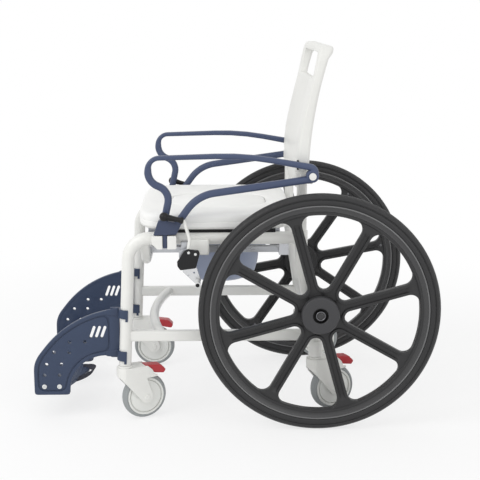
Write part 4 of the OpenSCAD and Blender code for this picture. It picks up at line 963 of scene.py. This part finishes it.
# Slot under the push handle
HANDLE_LOW = 880.0
HANDLE_HIGH = 944.0
HANDLE_HALF = 190.0
# Distance between the shell's points
BACK_STEP = 9
# Dish in front: depth, half width, and the shares of the height over which it grows
DISH_DEEP = 10.0
DISH_HALF = 200.0
DISH_GROWS = (0, 0.3)
# Front drawn back towards the top: depth, where it grows, and the share that it gives up at the handle
DRAW_BACK = 10.0
DRAW_GROWS = (0.1, 0.7)
DRAW_EASED = 0.4
DRAW_EASES = (0.85, 1)
# Share of both that is given up round the slot, and where
SLOT_EASED = 0.3
SLOT_EASES = (0.75, 0.9)
# Handle's roll at the back: depth, and distances below the top at which it starts and is full
ROLL_DEEP = 7.0
ROLL_FROM = 34.0
ROLL_FULL = 14.0
# Clip at the shell's lower side edge: its two corners
CLIP_LOW = (BACK_HALF - 6, -57.5, 660)
CLIP_HIGH = (BACK_HALF + 2.5, -53, 684)


def back_shell():
    """Plate bent along y = BACK_Y + lean t + curl t^2, with t its height from 0 to 1.

    Its front half is thinned by a dish, cos^2 across, and by a depth that grows towards the top. Its rear
    half is rolled back at the handle, and a tongue reaches down between the posts.
    """
    half = [[TONGUE_HALF, TONGUE_LOW], [TONGUE_HALF + TONGUE_FLARE, SHELL_LOW], [BACK_HALF, SHELL_LOW],
            [BACK_HALF, BACK_HIGH]]
    corners = np.array(half + [[-x, z] for x, z in half[::-1]])
    outline = rounded(corners, BACK_ROUNDS + BACK_ROUNDS[::-1], step=6)
    slot = [[HANDLE_HALF, HANDLE_LOW], [HANDLE_HALF, HANDLE_HIGH], [-HANDLE_HALF, HANDLE_HIGH],
            [-HANDLE_HALF, HANDLE_LOW]]
    slot = dense(rounded(slot, 16, step=10), BACK_STEP)
    p, faces = plate(dense(outline, BACK_STEP), BACK_T / 2, BACK_EDGE, [slot], BACK_STEP, 6)
    x, z, h = p.T
    t = (z - BACK_LOW) / (BACK_HIGH - BACK_LOW)
    dish = DISH_DEEP * np.cos(np.clip(x / DISH_HALF, -1, 1) * np.pi / 2) ** 2 * smooth_step(*DISH_GROWS, t)
    drawn = DRAW_BACK * smooth_step(*DRAW_GROWS, t) * (1 - DRAW_EASED * smooth_step(*DRAW_EASES, t))
    roll = ROLL_DEEP * smooth_step(BACK_HIGH - ROLL_FROM, BACK_HIGH - ROLL_FULL, z)
    front = h * (1 - (dish + drawn) / BACK_T * 2 * (1 - SLOT_EASED * smooth_step(*SLOT_EASES, t)))
    depth = np.where(h > 0, front, h * (1 + roll / BACK_T * 2))
    return np.stack([x, BACK_Y + BACK_LEAN * t + BACK_CURL * t * t - depth, z], 1), faces


add("back_shell_looks", [back_shell()], "back_white", "frame", ["back_shell"], SOFT_CREASE)
add("back_clips", pair([block(CLIP_LOW, CLIP_HIGH, 1.2)]), "black_plastic", "frame")

# Seat and its cover

seat_low, seat_high = node_box("seat")
pan_low, pan_high = node_box("pan")
SEAT_Z = seat_low[2]
SEAT_T = seat_high[2] - SEAT_Z
# Middle, half sizes and squareness of the seat and of its opening, which the pan hangs under
SEAT_Y = (seat_low[1] + seat_high[1]) / 2
SEAT_HALF = (seat_high - seat_low)[:2] / 2
SEAT_POWER = 6
PAN_Y = (pan_low[1] + pan_high[1]) / 2
OPENING_HALF = (100, 122)
OPENING_POWER = 2.4
# Rebate for the cover: share of the way from the opening to the edge, and its rim's height over SEAT_Z
REBATE = 0.1
RIM_UP = 0.84 * SEAT_T
COVER_T = 12.0
LEDGE = RIM_UP - COVER_T
# Width that the section's shares stand for while its corners are rounded
SEAT_BAND = 130
# Section from the opening under the seat to the edge with its parting line, and back over the crown:
# share of the way to the edge, height, radius
SEAT_SECTION = [
    [0, LEDGE, 1], [0, 0.3, 2], [0.03, 0, 4], [0.96, 0, 4], [1, 7, 5],
    [1, 18.6, 0.6], [0.986, 19.8, 0.6], [1, 21, 0.6],
    [1, 31, 8], [0.97, 39.6, 30], [0.86, 42.6, 60], [0.62, SEAT_T, 60], [0.36, 41, 40],
    [REBATE + 0.03, 38, 4], [REBATE, 36, 2], [REBATE, LEDGE, 0.5],
]
# Cover: gap round it, depth of its plug, and height of its crown
COVER_GAP = 1.5
PLUG_DEEP = 7.0
COVER_CROWN = 5.9


def seat_ring(turn, s, d=0.0):
    """Outline a share s of the way from the opening to the seat's edge, drawn in towards the middle by d."""
    hole = super_oval(turn, OPENING_HALF, OPENING_POWER) + [0, PAN_Y]
    edge = super_oval(turn, SEAT_HALF, SEAT_POWER) + [0, SEAT_Y]
    p = hole * (1 - s) + edge * s
    return p - d * unit(p - [0, PAN_Y])


def seat():
    """Section of (share, height) rounded at its corners and carried round the opening."""
    share, height, radius = np.array(SEAT_SECTION).T
    section = rounded(np.stack([share * SEAT_BAND, height], 1), radius, step=15)
    p = seat_ring(even_turn(SEAT_POWER, 240)[:, None], section[None, :, :1] / SEAT_BAND)
    h = np.broadcast_to(SEAT_Z + section[None, :, 1], p.shape[:2])
    return grid(np.concatenate([p, h[..., None]], -1))


def seat_cover():
    """Rows of (share of the outline's size, seat share, height), from the plug's underside over the top.

    The top is crowned by COVER_CROWN (1 - k^2.4) at a share k of the outline.
    """
    rim = SEAT_Z + RIM_UP
    base = SEAT_Z + LEDGE + 0.5
    plug = base - PLUG_DEEP
    rows = [[0.02, 0, plug], [0.5, 0, plug], [0.97, 0, plug], [1, 0, plug + 2], [1, 0, base],
            [1, REBATE, base], [1, REBATE, rim - 3], [0.985, REBATE, rim - 0.6], [0.96, REBATE, rim],
            *[[k, REBATE, rim + COVER_CROWN * (1 - k**2.4)] for k in np.linspace(0.92, 0.04, 14)]]
    turn = even_turn(3, 180)
    points = []
    for share, s, z in rows:
        p = (seat_ring(turn, s, COVER_GAP) - [0, PAN_Y]) * share + [0, PAN_Y]
        points.append(np.c_[p, np.full(len(turn), z)])
    return tube(np.stack(points))


add("seat_looks", [seat()], "seat_foam", "frame", ["seat"], FOAM_CREASE)
add("seat_cover_looks", [seat_cover()], "seat_foam", "seat_cover", ["seat_cover"], FOAM_CREASE)

# Pan: a bowl with a flat flange, and a pull at its rear edge

FLANGE_Z = 431.75
FLANGE_T = 4.0
FLANGE_HALF, FLANGE_LEN = (pan_high - pan_low)[:2] / 2
PAN_R = 113.0
PAN_WALL = 3.0
PAN_FLOOR = FLANGE_Z - 100.5
PULL_HALF = 45.0
PULL_DROP = 16.0
pan_rim = FLANGE_Z + FLANGE_T
bowl_outside = rounded(
    [[0, PAN_FLOOR], [70, PAN_FLOOR], [98, PAN_FLOOR + 10], [107.5, PAN_FLOOR + 46], [PAN_R, pan_rim]],
    [0, 30, 30, 60, 0], False)
bowl_inside = rounded(
    [[PAN_R - PAN_WALL, pan_rim], [104.5, PAN_FLOOR + 47], [95, PAN_FLOOR + 13], [69, PAN_FLOOR + PAN_WALL],
     [0, PAN_FLOOR + PAN_WALL]],
    [0, 60, 30, 30, 0], False)
bowl = revolve(np.vstack([bowl_outside, bowl_inside]), np.array([0, PAN_Y, 0]), Z, 144)
flange_corners = [[-FLANGE_HALF, -FLANGE_LEN], [FLANGE_HALF, -FLANGE_LEN], [FLANGE_HALF, FLANGE_LEN],
                  [-FLANGE_HALF, FLANGE_LEN]]
flange_outline = about(np.array([0, PAN_Y]), flange_corners, 14)
flange_hole = arc((0, PAN_Y), PAN_R - 1.5, 0, 357, 120)
flange = layer(flange_outline, FLANGE_Z, pan_rim, 1.2, [flange_hole])
pull = block((-PULL_HALF, PAN_Y + FLANGE_LEN - 6, FLANGE_Z - PULL_DROP),
             (PULL_HALF, PAN_Y + FLANGE_LEN, FLANGE_Z + 1), 2.5)
add("pan_looks", [bowl, flange, pull], "pan_plastic", "pan", ["pan"])

# Footrests

REACH, FOOT_Z = node_box("foot_panel_left")[0][1:]
PANEL_X = 209.0
PANEL_BACK = -509.0
# Arc of a panel's upper edge, arc of the cut below it, and the turn before the front at which the upper
# arc gives way to a tighter one
PANEL_MID = np.array([-490.0, 24.0])
PANEL_R = 273.0
CUT_MID = np.array([-546.0, 75.0])
CUT_R = 96.0
BOW_TURN = 12.0
# Distances outwards from PANEL_X: base plate's half, the rim's two faces, the raised field's two faces
BASE_HALF = 4.0
RIM_LOW = -4.4
RIM_TOP = 7.0
FIELD_LOW = 3.0
FIELD_TOP = 6.4
# Width of the rim, distance from the outline to the field, and how much more both keep off at the leg
RIM_WIDE = 10
FIELD_IN = 13.2
AT_LEG = 17
# Pairs of adjustment holes: places of their middles behind and above the panel's lower front, and radius
HOLE_PAIRS = ((47, 54), (53, 83), (74, 116), (115, 144))
HOLE_HALF = 19.5
HOLE_R = 4.25
HOLES = [[REACH + y + s * HOLE_HALF, FOOT_Z + z] for y, z in HOLE_PAIRS for s in (-1, 1)]
# Three slanted slits: middle of the middle one, distance apart, half length between the rounds, radius, slant
SLIT_MID = np.array([-566.0, 234.0])
SLIT_PITCH = 14
SLIT_HALF = 13.5
SLIT_R = 3.5
SLIT_SLANT = 70
# Middle between the two bolts of the bracket
BOLTS_Y = REACH + 46
BOLTS_Z = FOOT_Z + 23


def panel_outline(d, reach, at_leg=0.0):
    """Sickle outline of a footrest panel drawn in by d: a big arc above and a smaller one below.

    The big arc runs out into the front edge by a tighter one, tangent to both. The corners are softened over
    a reach, and the back edge keeps off the leg by at_leg.
    """
    big, cut = PANEL_R - d, CUT_R + d
    back, front, low = PANEL_BACK - d - at_leg, REACH + d, FOOT_Z + d
    at_back = math.degrees(math.acos((back - CUT_MID[0]) / cut))
    ends = [math.degrees(math.acos((y - PANEL_MID[0]) / big)) for y in (back, front)]
    top = arc(PANEL_MID, big, ends[0], ends[1] - BOW_TURN, 60)
    heading = math.radians(ends[1] - BOW_TURN)
    run = (top[-1, 0] - front) / math.sin(heading)
    corner = top[-1] + run * np.array([-math.sin(heading), math.cos(heading)])
    bow_r = run / math.tan((math.pi - heading) / 2)
    bow = rounded([top[-1], corner, corner - [0, 1.02 * run]], [0, 0.97 * bow_r, 0], False, 4)
    lower = [[front, low], [CUT_MID[0] - cut, low]]
    loop = np.vstack([lower, arc(CUT_MID, cut, 180, at_back, 40), top, bow[1:]])
    return softened(loop, reach)


def panel_openings(wider):
    """Round adjustment holes and three slanted slits, each wider by a little all round."""
    openings = [arc(h, HOLE_R + wider, 0, 340, 18) for h in HOLES]
    slant = math.radians(SLIT_SLANT)
    along = np.array([math.cos(slant), math.sin(slant)]) * SLIT_HALF
    r = SLIT_R + wider
    for k in (-1, 0, 1):
        mid = SLIT_MID + [SLIT_PITCH * k, 0]
        ends = [arc(mid + along, r, SLIT_SLANT - 90, SLIT_SLANT + 90, 10),
                arc(mid - along, r, SLIT_SLANT + 90, SLIT_SLANT + 270, 10)]
        openings.append(np.vstack(ends))
    return openings


# Panel: base plate, rim round it and raised field, with a groove between the last two
panel = [slab(panel_outline(1.5, 8), PANEL_X - BASE_HALF, PANEL_X + BASE_HALF, 1.2, panel_openings(0))]
panel_rim_hole = [panel_outline(RIM_WIDE, 18, AT_LEG)]
panel += [slab(panel_outline(0, 8), PANEL_X + RIM_LOW, PANEL_X + RIM_TOP, 2, panel_rim_hole)]
field = panel_outline(FIELD_IN, 19, AT_LEG)
panel += [slab(field, PANEL_X + FIELD_LOW, PANEL_X + FIELD_TOP, 0.9, panel_openings(SUNK))]

# Hooks round the front leg: their ends along it, and for each strip of a hook the angles about the leg from
# its rear, the wall and how far it hangs below the hook
LEG_FOOT = joint_at("footrest_swing_left")
LEG = unit(JOINT["footrest_swing_left"]["axis"])
HOOKS = ((14, 40), (127, 150))
HOOK_R = 18.7
HOOK_STRIPS = ((76, 284, 4.9, 0), (76, 94, 5.4, 7), (266, 284, 5.4, 7))
# Lug from a hook into the panel: half thickness, ends from the panel's back edge
LUG_HALF = 3.6
LUG_FRONT = PANEL_BACK - 24
LUG_BACK = PANEL_BACK + 22
# Arm plate over a lug: corners from the panel's back edge and the hook's middle, faces outwards of PANEL_X
ARM_PLATE = ([-38, -7], [-2, -11.5], [-2, 11.5], [-38, 4])
ARM_PLATE_LOW = 3.2
ARM_PLATE_TOP = 9.2
leg_rear = np.cross(LEG, X)
for low, high in HOOKS:
    mid = LEG_FOOT + LEG * (low + high) / 2
    hook_half = (high - low) / 2
    for start, end, wall, drop in HOOK_STRIPS:
        turn = np.radians(np.linspace(start, end, 2 + (end - start) // 4))[:, None]
        around = np.cos(turn) * leg_rear + np.sin(turn) * X
        strip = oval(wall, high - low + drop, 8, 40)
        panel.append(sweep(mid - LEG * drop / 2 + HOOK_R * around, strip, LEG))
    panel.append(block((PANEL_X - LUG_HALF, LUG_FRONT, mid[2] - hook_half + 1),
                       (PANEL_X + LUG_HALF, LUG_BACK, mid[2] + hook_half - 1), 2))
    arm_plate = about(np.array([PANEL_BACK, mid[2]]), ARM_PLATE, [5, 3, 3, 5])
    panel.append(slab(arm_plate, PANEL_X + ARM_PLATE_LOW, PANEL_X + ARM_PLATE_TOP, 2))

# Footplate's hinge: bracket with two knuckles on the panel, pin, and the footplate's knuckle between
HINGE_X, _, HINGE_Z = joint_at("footplate_flip_left")
HINGE_FRONT = REACH + 8
KNUCKLE_R = 7.0
KNUCKLE_L = 8.5
KNUCKLE_HALF = 6.8
PIN_R = 3.5
PIN_L = 73.0
BRACKET_L = 74.0
panel.append(block((HINGE_X + 7, HINGE_FRONT, HINGE_Z - 8),
                   (HINGE_X + 11, HINGE_FRONT + BRACKET_L, HINGE_Z + 22), 1.5))
for y in (HINGE_FRONT, HINGE_FRONT + PIN_L - KNUCKLE_L):
    panel.append(turned(barrel(KNUCKLE_R, 0, KNUCKLE_L), 0.8, (HINGE_X, y, HINGE_Z), Y, 32))
    panel.append(block((HINGE_X, y, HINGE_Z - KNUCKLE_HALF),
                       (HINGE_X + 9.5, y + KNUCKLE_L, HINGE_Z + KNUCKLE_HALF), 0.8))
both("foot_panel_looks_{}", panel, "navy_plastic", "footrest_{}", ["foot_panel_{}"])
bolts_at = [(PANEL_X + FIELD_TOP, BOLTS_Y + s * HOLE_HALF, BOLTS_Z) for s in (-1, 1)]
bolts = [bolt_head(at, X, d=12.6, t=3) for at in bolts_at]
both("panel_bolts_{}", bolts, "bolt_white", "footrest_{}")
pin = [turned(barrel(PIN_R, 0, PIN_L), 0.4, (HINGE_X, HINGE_FRONT, HINGE_Z), Y, 24)]
both("footplate_pins_{}", pin, "zinc_steel", "footrest_{}")

# Footplates, with the rear outer corner cut off, and ribs across that end at the cut
plate_low, plate_high = node_box("footplate_left")
PLATE_IN = plate_low[0]
PLATE_OUT = 187.0
PLATE_FRONT = plate_low[1]
PLATE_BACK = plate_high[1]
PLATE_HALF = 5.0
PLATE_CUT = ((PLATE_OUT, -648), (74, PLATE_BACK))
SLEEVE_FRONT = HINGE_FRONT + 9
SLEEVE_L = 55.0
RIB_PITCH = 9.0
RIB_IN = 34.0
RIB_OUT = 164.0
# Place behind which the ribs get shorter, and by how much for each millimetre
RIB_CUT_Y = -650
RIB_CUT_SLOPE = 2.9
outline = [[PLATE_IN, PLATE_FRONT], [PLATE_OUT, PLATE_FRONT], *PLATE_CUT, [PLATE_IN, PLATE_BACK]]
footplate = [layer(rounded(outline, [16, 16, 16, 40, 16]), HINGE_Z - PLATE_HALF, HINGE_Z + PLATE_HALF, 2.5)]
sleeve = barrel(KNUCKLE_R, 0, SLEEVE_L, bore=PIN_R + 0.05)
footplate += [turned(sleeve, 0.5, (HINGE_X, SLEEVE_FRONT, HINGE_Z), Y, 32)]
footplate += [block((PLATE_OUT - 17, SLEEVE_FRONT + 0.5, HINGE_Z - PLATE_HALF + 0.2),
                    (HINGE_X - 4, SLEEVE_FRONT + SLEEVE_L - 0.5, HINGE_Z + PLATE_HALF - 0.2), 1)]
for y in np.arange(SLEEVE_FRONT, PLATE_BACK - 6, RIB_PITCH):
    rib_end = RIB_OUT - RIB_CUT_SLOPE * max(y - RIB_CUT_Y, 0)
    rib = crossbar(np.linspace(RIB_IN, rib_end, 12), y, HINGE_Z + PLATE_HALF)
    footplate.append(sweep(rib, oval(3, 1.6, 2, 12), Z))
both("footplate_looks_{}", footplate, "navy_plastic", "footplate_{}", ["footplate_{}"])

# Heel straps: an arc seen from above, through a given half width and depth, which leans back and rises in
# its middle
STRAP_X = 94.6
STRAP_BACK = -591.0
STRAP_HALF = 49.5
STRAP_DEEP = 38.0
STRAP_W = 18.0
STRAP_T = 2.4
STRAP_Z = 83.0
STRAP_RISE = 10.0
STRAP_LEAN = math.radians(32)
strap_r = (STRAP_HALF**2 + STRAP_DEEP**2) / (2 * STRAP_DEEP)
strap_turn = math.degrees(math.asin(STRAP_HALF / strap_r))
strap_path = arc((STRAP_X, STRAP_BACK - strap_r), strap_r - 1.5, 90 - strap_turn, 90 + strap_turn, 48)
strap_z = STRAP_Z + STRAP_RISE * np.sin(np.linspace(0, np.pi, len(strap_path)))
strap_up = math.cos(STRAP_LEAN) * Z + math.sin(STRAP_LEAN) * Y
strap = sweep(np.c_[strap_path, strap_z], oval(STRAP_T, STRAP_W, 9, 40), strap_up)
both("heel_strap_looks_{}", [strap], "strap_webbing", "footplate_{}", ["heel_strap_{}"])

# Wheel locks, drawn in (Y, Z) from the lever's pin, the shoe's pin and the peg

lever_at = joint_at("lock_lever_left")[1:]
shoe_at = joint_at("lock_shoe_left")[1:]
LOCK_X = ARM_X - 4.5
LOCK_T = 6.0
LEVER_X = ARM_X + 16
COVER_X = LEVER_X + 7.5
LOCK_PIN_R = 4.0
LOCK_PIN_L = 28.5
LOCK_BORE = LOCK_PIN_R + 0.05

# Plate on the rail, black cover plate outside, clamp round the rail
BACK_PLATE = ([-22, 16], [22, 16], [22, -5], [17, -30], [-3, -33], [-22, -5])
COVER_PLATE = ([-8, 17], [0, 22], [28, 19], [31, 11], [21, -27], [-18, -32], [-25, -22], [-26, -10])
COVER_PLATE_T = 4.0
COVER_SCREWS = ([3, 13], [20, 9])
lock_plate = [slab(about(lever_at, BACK_PLATE, [9, 9, 6, 6, 6, 6]), LOCK_X, LOCK_X + LOCK_T, 1)]
lock_plate += [block((FRAME_X + 4, lever_at[0] - 17, lever_at[1] - 1),
                     (LOCK_X + 1, lever_at[0] + 13, RAIL_Z - 4), 2)]
lock_pin = barrel(LOCK_PIN_R, 0, LOCK_PIN_L)
lock_plate += [turned(lock_pin, 0.6, (LOCK_X, *at), X, 28) for at in (lever_at, shoe_at)]
cover = [slab(about(lever_at, COVER_PLATE, 5), COVER_X, COVER_X + COVER_PLATE_T, 1.6)]
screws = [bolt_head((COVER_X + COVER_PLATE_T, *(lever_at + p)), X, d=7, t=1.6) for p in COVER_SCREWS]
clamp = [block((FRAME_X + 6, lever_at[0] + 4, RAIL_Z - 37), (LOCK_X + 4, lever_at[0] + 54, RAIL_Z + 2), 5)]
add("lock_plate_looks", pair(lock_plate), "zinc_steel", "frame", ["lock_plates"])
add("lock_covers", pair(cover), "black_plastic", "frame")
add("lock_screws", pair(screws), "bolt_white", "frame")
add("lock_clamps", pair(clamp), "white_moulding", "frame")

# Lever: a bent rod with an eye round its pin, and a grip with a ball on its end
ROD_X = LEVER_X + 3
ROD_D = 8.6
ROD_LOW = lever_at + [0, 6]
ROD_BEND = lever_at + [6, 45]
GRIP_FOOT = np.array([ROD_X, *(lever_at + [-8, 92])])
# Direction of the grip: how far it leans outwards, and its turn in the side view
GRIP_OUT = math.radians(10)
GRIP_TURN = math.radians(166)
GRIP_DIR = unit([math.sin(GRIP_OUT), math.cos(GRIP_TURN) * math.cos(GRIP_OUT),
                 math.sin(GRIP_TURN) * math.cos(GRIP_OUT)])
GRIP_BORE = 2.6
GRIP_SLEEVE = [[GRIP_BORE, 0], [8, 0], [8, 6], [6.4, 9], [6.8, 26], [8.4, 40]]
GRIP_ROUNDS = [0.5, 1.5, 1.5, 3, 20, 0]
BALL_AT = 49.0
BALL_R = 11.4
ROD_END = 44.0
rod = rounded([[ROD_X, *ROD_LOW], [ROD_X, *ROD_BEND], GRIP_FOOT, GRIP_FOOT + ROD_END * GRIP_DIR],
              [0, 30, 8, 0], False, 6)
lever = [sweep(evenly(rod, 3), oval(ROD_D, ROD_D, 2, 20), X)]
lever += [turned(barrel(9, -3.4, 3.4, bore=LOCK_BORE), 0.8, (ROD_X, *lever_at), X, 36)]
both("lock_lever_looks_{}", lever, "frame_paint", "lock_lever_{}", ["lock_lever_{}"])
grip_profile = np.vstack([rounded(GRIP_SLEEVE, GRIP_ROUNDS, False), arc((0, BALL_AT), BALL_R, -36, 90, 16),
                          [[0, ROD_END], [GRIP_BORE, ROD_END]]])
grip = [revolve(grip_profile, GRIP_FOOT + 2 * GRIP_DIR, GRIP_DIR, 48)]
both("lock_grip_looks_{}", grip, "black_plastic", "lock_lever_{}", ["lock_grip_{}"])

# Shoe: a plate on its pin, with two small holes, and the peg that meets the tyre
PEG = shoe_at - [-16, 42.5]
SHOE_X = LOCK_X + 7
SHOE_T = 5.0
SHOE_PLATE = ([-38, 25], [-5, -6.8], [5, -6.8], [8, 4], [-7.4, 50.6], [-24.6, 50.6], [-37, 33])
PEG_R = 7.0
PEG_CORE_R = 5.0
PEG_L = 43.0
PEG_FOOT = (LOCK_X + 9, *PEG)
peg_bore = PEG_CORE_R - 0.1
shoe_holes = [arc(shoe_at, LOCK_BORE, 0, 345, 24), arc(PEG + [-9, 23], 2.2, 0, 330, 12),
              arc(PEG + [-24, 16], 1.7, 0, 330, 12)]
shoe = [slab(about(PEG, SHOE_PLATE, [3, 7, 7, 7, 8, 8, 4]), SHOE_X, SHOE_X + SHOE_T, 0.7, shoe_holes)]
both("lock_shoe_looks_{}", shoe, "bright_steel", "lock_shoe_{}", ["lock_shoe_{}"])
peg = [[peg_bore, 0], [PEG_R, 0], [PEG_R, PEG_L - 1], [PEG_R - 0.6, PEG_L], [peg_bore, PEG_L]]
both("lock_pegs_{}", [turned(peg, 0.4, PEG_FOOT, X, 36)], "bolt_white", "lock_shoe_{}")
core = [[0, 20], [PEG_CORE_R, 20], [PEG_CORE_R, PEG_L], [PEG_CORE_R - 0.7, PEG_L + 1], [0, PEG_L + 1]]
both("lock_peg_cores_{}", [turned(core, 0.4, PEG_FOOT, X, 32)], "black_rubber", "lock_shoe_{}")

# Materials of the CAD pieces that are shown as they are

CAD_CREASE = 30
CAD_LOOKS = {
    "frame_paint": [
        "seat_rail_left", "seat_rail_right", "lower_rail_left", "lower_rail_right", "rear_leg_left",
        "rear_leg_right", "front_cross_tube", "lower_cross_tube", "rear_cross_tube", "back_posts",
    ],
    "white_moulding": ["armrest_pivots"],
    "zinc_steel": ["pan_runners", "axle_left", "axle_right", "bearings_left", "bearings_right"],
    "black_rubber": ["seat_strips"],
}
for finish, nodes in CAD_LOOKS.items():
    for node in nodes:
        obj = frame["nodes"][node]
        obj.data.materials.clear()
        obj.data.materials.append(LOOK[finish])
        obj.data.shade_smooth()
        obj.data.set_sharp_from_angle(angle=math.radians(CAD_CREASE))

# Stage, light and camera, in metres in the row frame

FLOOR_HALF = 12.0
FLOOR_GREY = 0.94
# Share of white that the floor shows near the object, and the distances between which it turns white
FLOOR_GLOW = 0.72
GLOW_FADE = (0.7, 2.0)
# Strength of the world's light on the object; the background itself is white
SKY = 0.72
LIGHT_AIM = (0, 0, 0.4)
# Place, diameter and power of each lamp
LAMPS = {
    "key": ((1.8, -2.6, 2.7), 2.4, 44),
    "fill": ((2.8, 1.6, 1.4), 2.5, 14),
    "top": ((0, 0, 3.6), 3.0, 8),
}
CAMERA_AT = (2.90739, -0.04974, 1.04732)
CAMERA_AHEAD = (-0.97791, 0.02417, -0.20760)
CAMERA_LENS = 81.04
SENSOR_WIDTH = 36


def backdrop_rays(tree):
    """1 for rays that should meet a white background: seen, mirrored or through clear plastic."""
    rays = tree.nodes.new("ShaderNodeLightPath").outputs
    shown = math_node(tree, "MAXIMUM", rays["Is Camera Ray"], rays["Is Glossy Ray"])
    return math_node(tree, "MAXIMUM", shown, rays["Is Transmission Ray"])


def floor_material():
    """Pale floor that keeps a soft shadow, near white to the camera and quite white further off."""
    m = bpy.data.materials.new("floor")
    m.use_nodes = True
    t = m.node_tree
    shader = t.nodes["Principled BSDF"]
    shader.inputs["Base Color"].default_value = (FLOOR_GREY, FLOOR_GREY, FLOOR_GREY, 1)
    shader.inputs["Roughness"].default_value = 0.8
    shine = t.nodes.new("ShaderNodeEmission")
    mix = t.nodes.new("ShaderNodeMixShader")
    far = t.nodes.new("ShaderNodeVectorMath")
    far.operation = "LENGTH"
    put(t, t.nodes.new("ShaderNodeTexCoord").outputs["Object"], far.inputs[0])
    fade = t.nodes.new("ShaderNodeMapRange")
    fade.interpolation_type = "SMOOTHSTEP"
    for label, value in zip(("From Min", "From Max", "To Min", "To Max"), (*GLOW_FADE, FLOOR_GLOW, 1.0)):
        fade.inputs[label].default_value = value
    put(t, far.outputs["Value"], fade.inputs["Value"])
    put(t, math_node(t, "MULTIPLY", backdrop_rays(t), fade.outputs["Result"]), mix.inputs[0])
    put(t, shader.outputs[0], mix.inputs[1])
    put(t, shine.outputs[0], mix.inputs[2])
    put(t, mix.outputs[0], t.nodes["Material Output"].inputs["Surface"])
    return m


def turned_to(ahead):
    """Rotation of a lamp or camera that looks along a direction."""
    return Vector(ahead).to_track_quat("-Z", "Y").to_euler()


floor_corners = [(x * FLOOR_HALF, y * FLOOR_HALF, 0) for x, y in ((-1, -1), (1, -1), (1, 1), (-1, 1))]
floor_mesh = bpy.data.meshes.new("floor")
floor_mesh.from_pydata(floor_corners, [], [(0, 1, 2, 3)])
floor_mesh.materials.append(floor_material())
floor = bpy.data.objects.new("floor", floor_mesh)
bpy.context.scene.collection.objects.link(floor)

world = bpy.data.worlds.new("studio")
bpy.context.scene.world = world
world.use_nodes = True
world_tree = world.node_tree
sky = world_tree.nodes["Background"]
sky.inputs["Color"].default_value = (1, 1, 1, 1)
sky_strength = math_node(world_tree, "MULTIPLY_ADD", backdrop_rays(world_tree), 1 - SKY, SKY)
put(world_tree, sky_strength, sky.inputs["Strength"])

for name, (place, size, power) in LAMPS.items():
    lamp = bpy.data.lights.new(name, "AREA")
    lamp.shape = "DISK"
    lamp.size = size
    lamp.energy = power
    obj = bpy.data.objects.new(name, lamp)
    obj.location = place
    obj.rotation_euler = turned_to(Vector(LIGHT_AIM) - Vector(place))
    bpy.context.scene.collection.objects.link(obj)

camera = bpy.data.cameras.new("photo_view")
camera.sensor_width = SENSOR_WIDTH
camera.lens = CAMERA_LENS
eye = bpy.data.objects.new("photo_view", camera)
eye.location = CAMERA_AT
eye.rotation_euler = turned_to(CAMERA_AHEAD)
bpy.context.scene.collection.objects.link(eye)
bpy.context.scene.camera = eye
bpy.context.scene.view_settings.view_transform = "Standard"
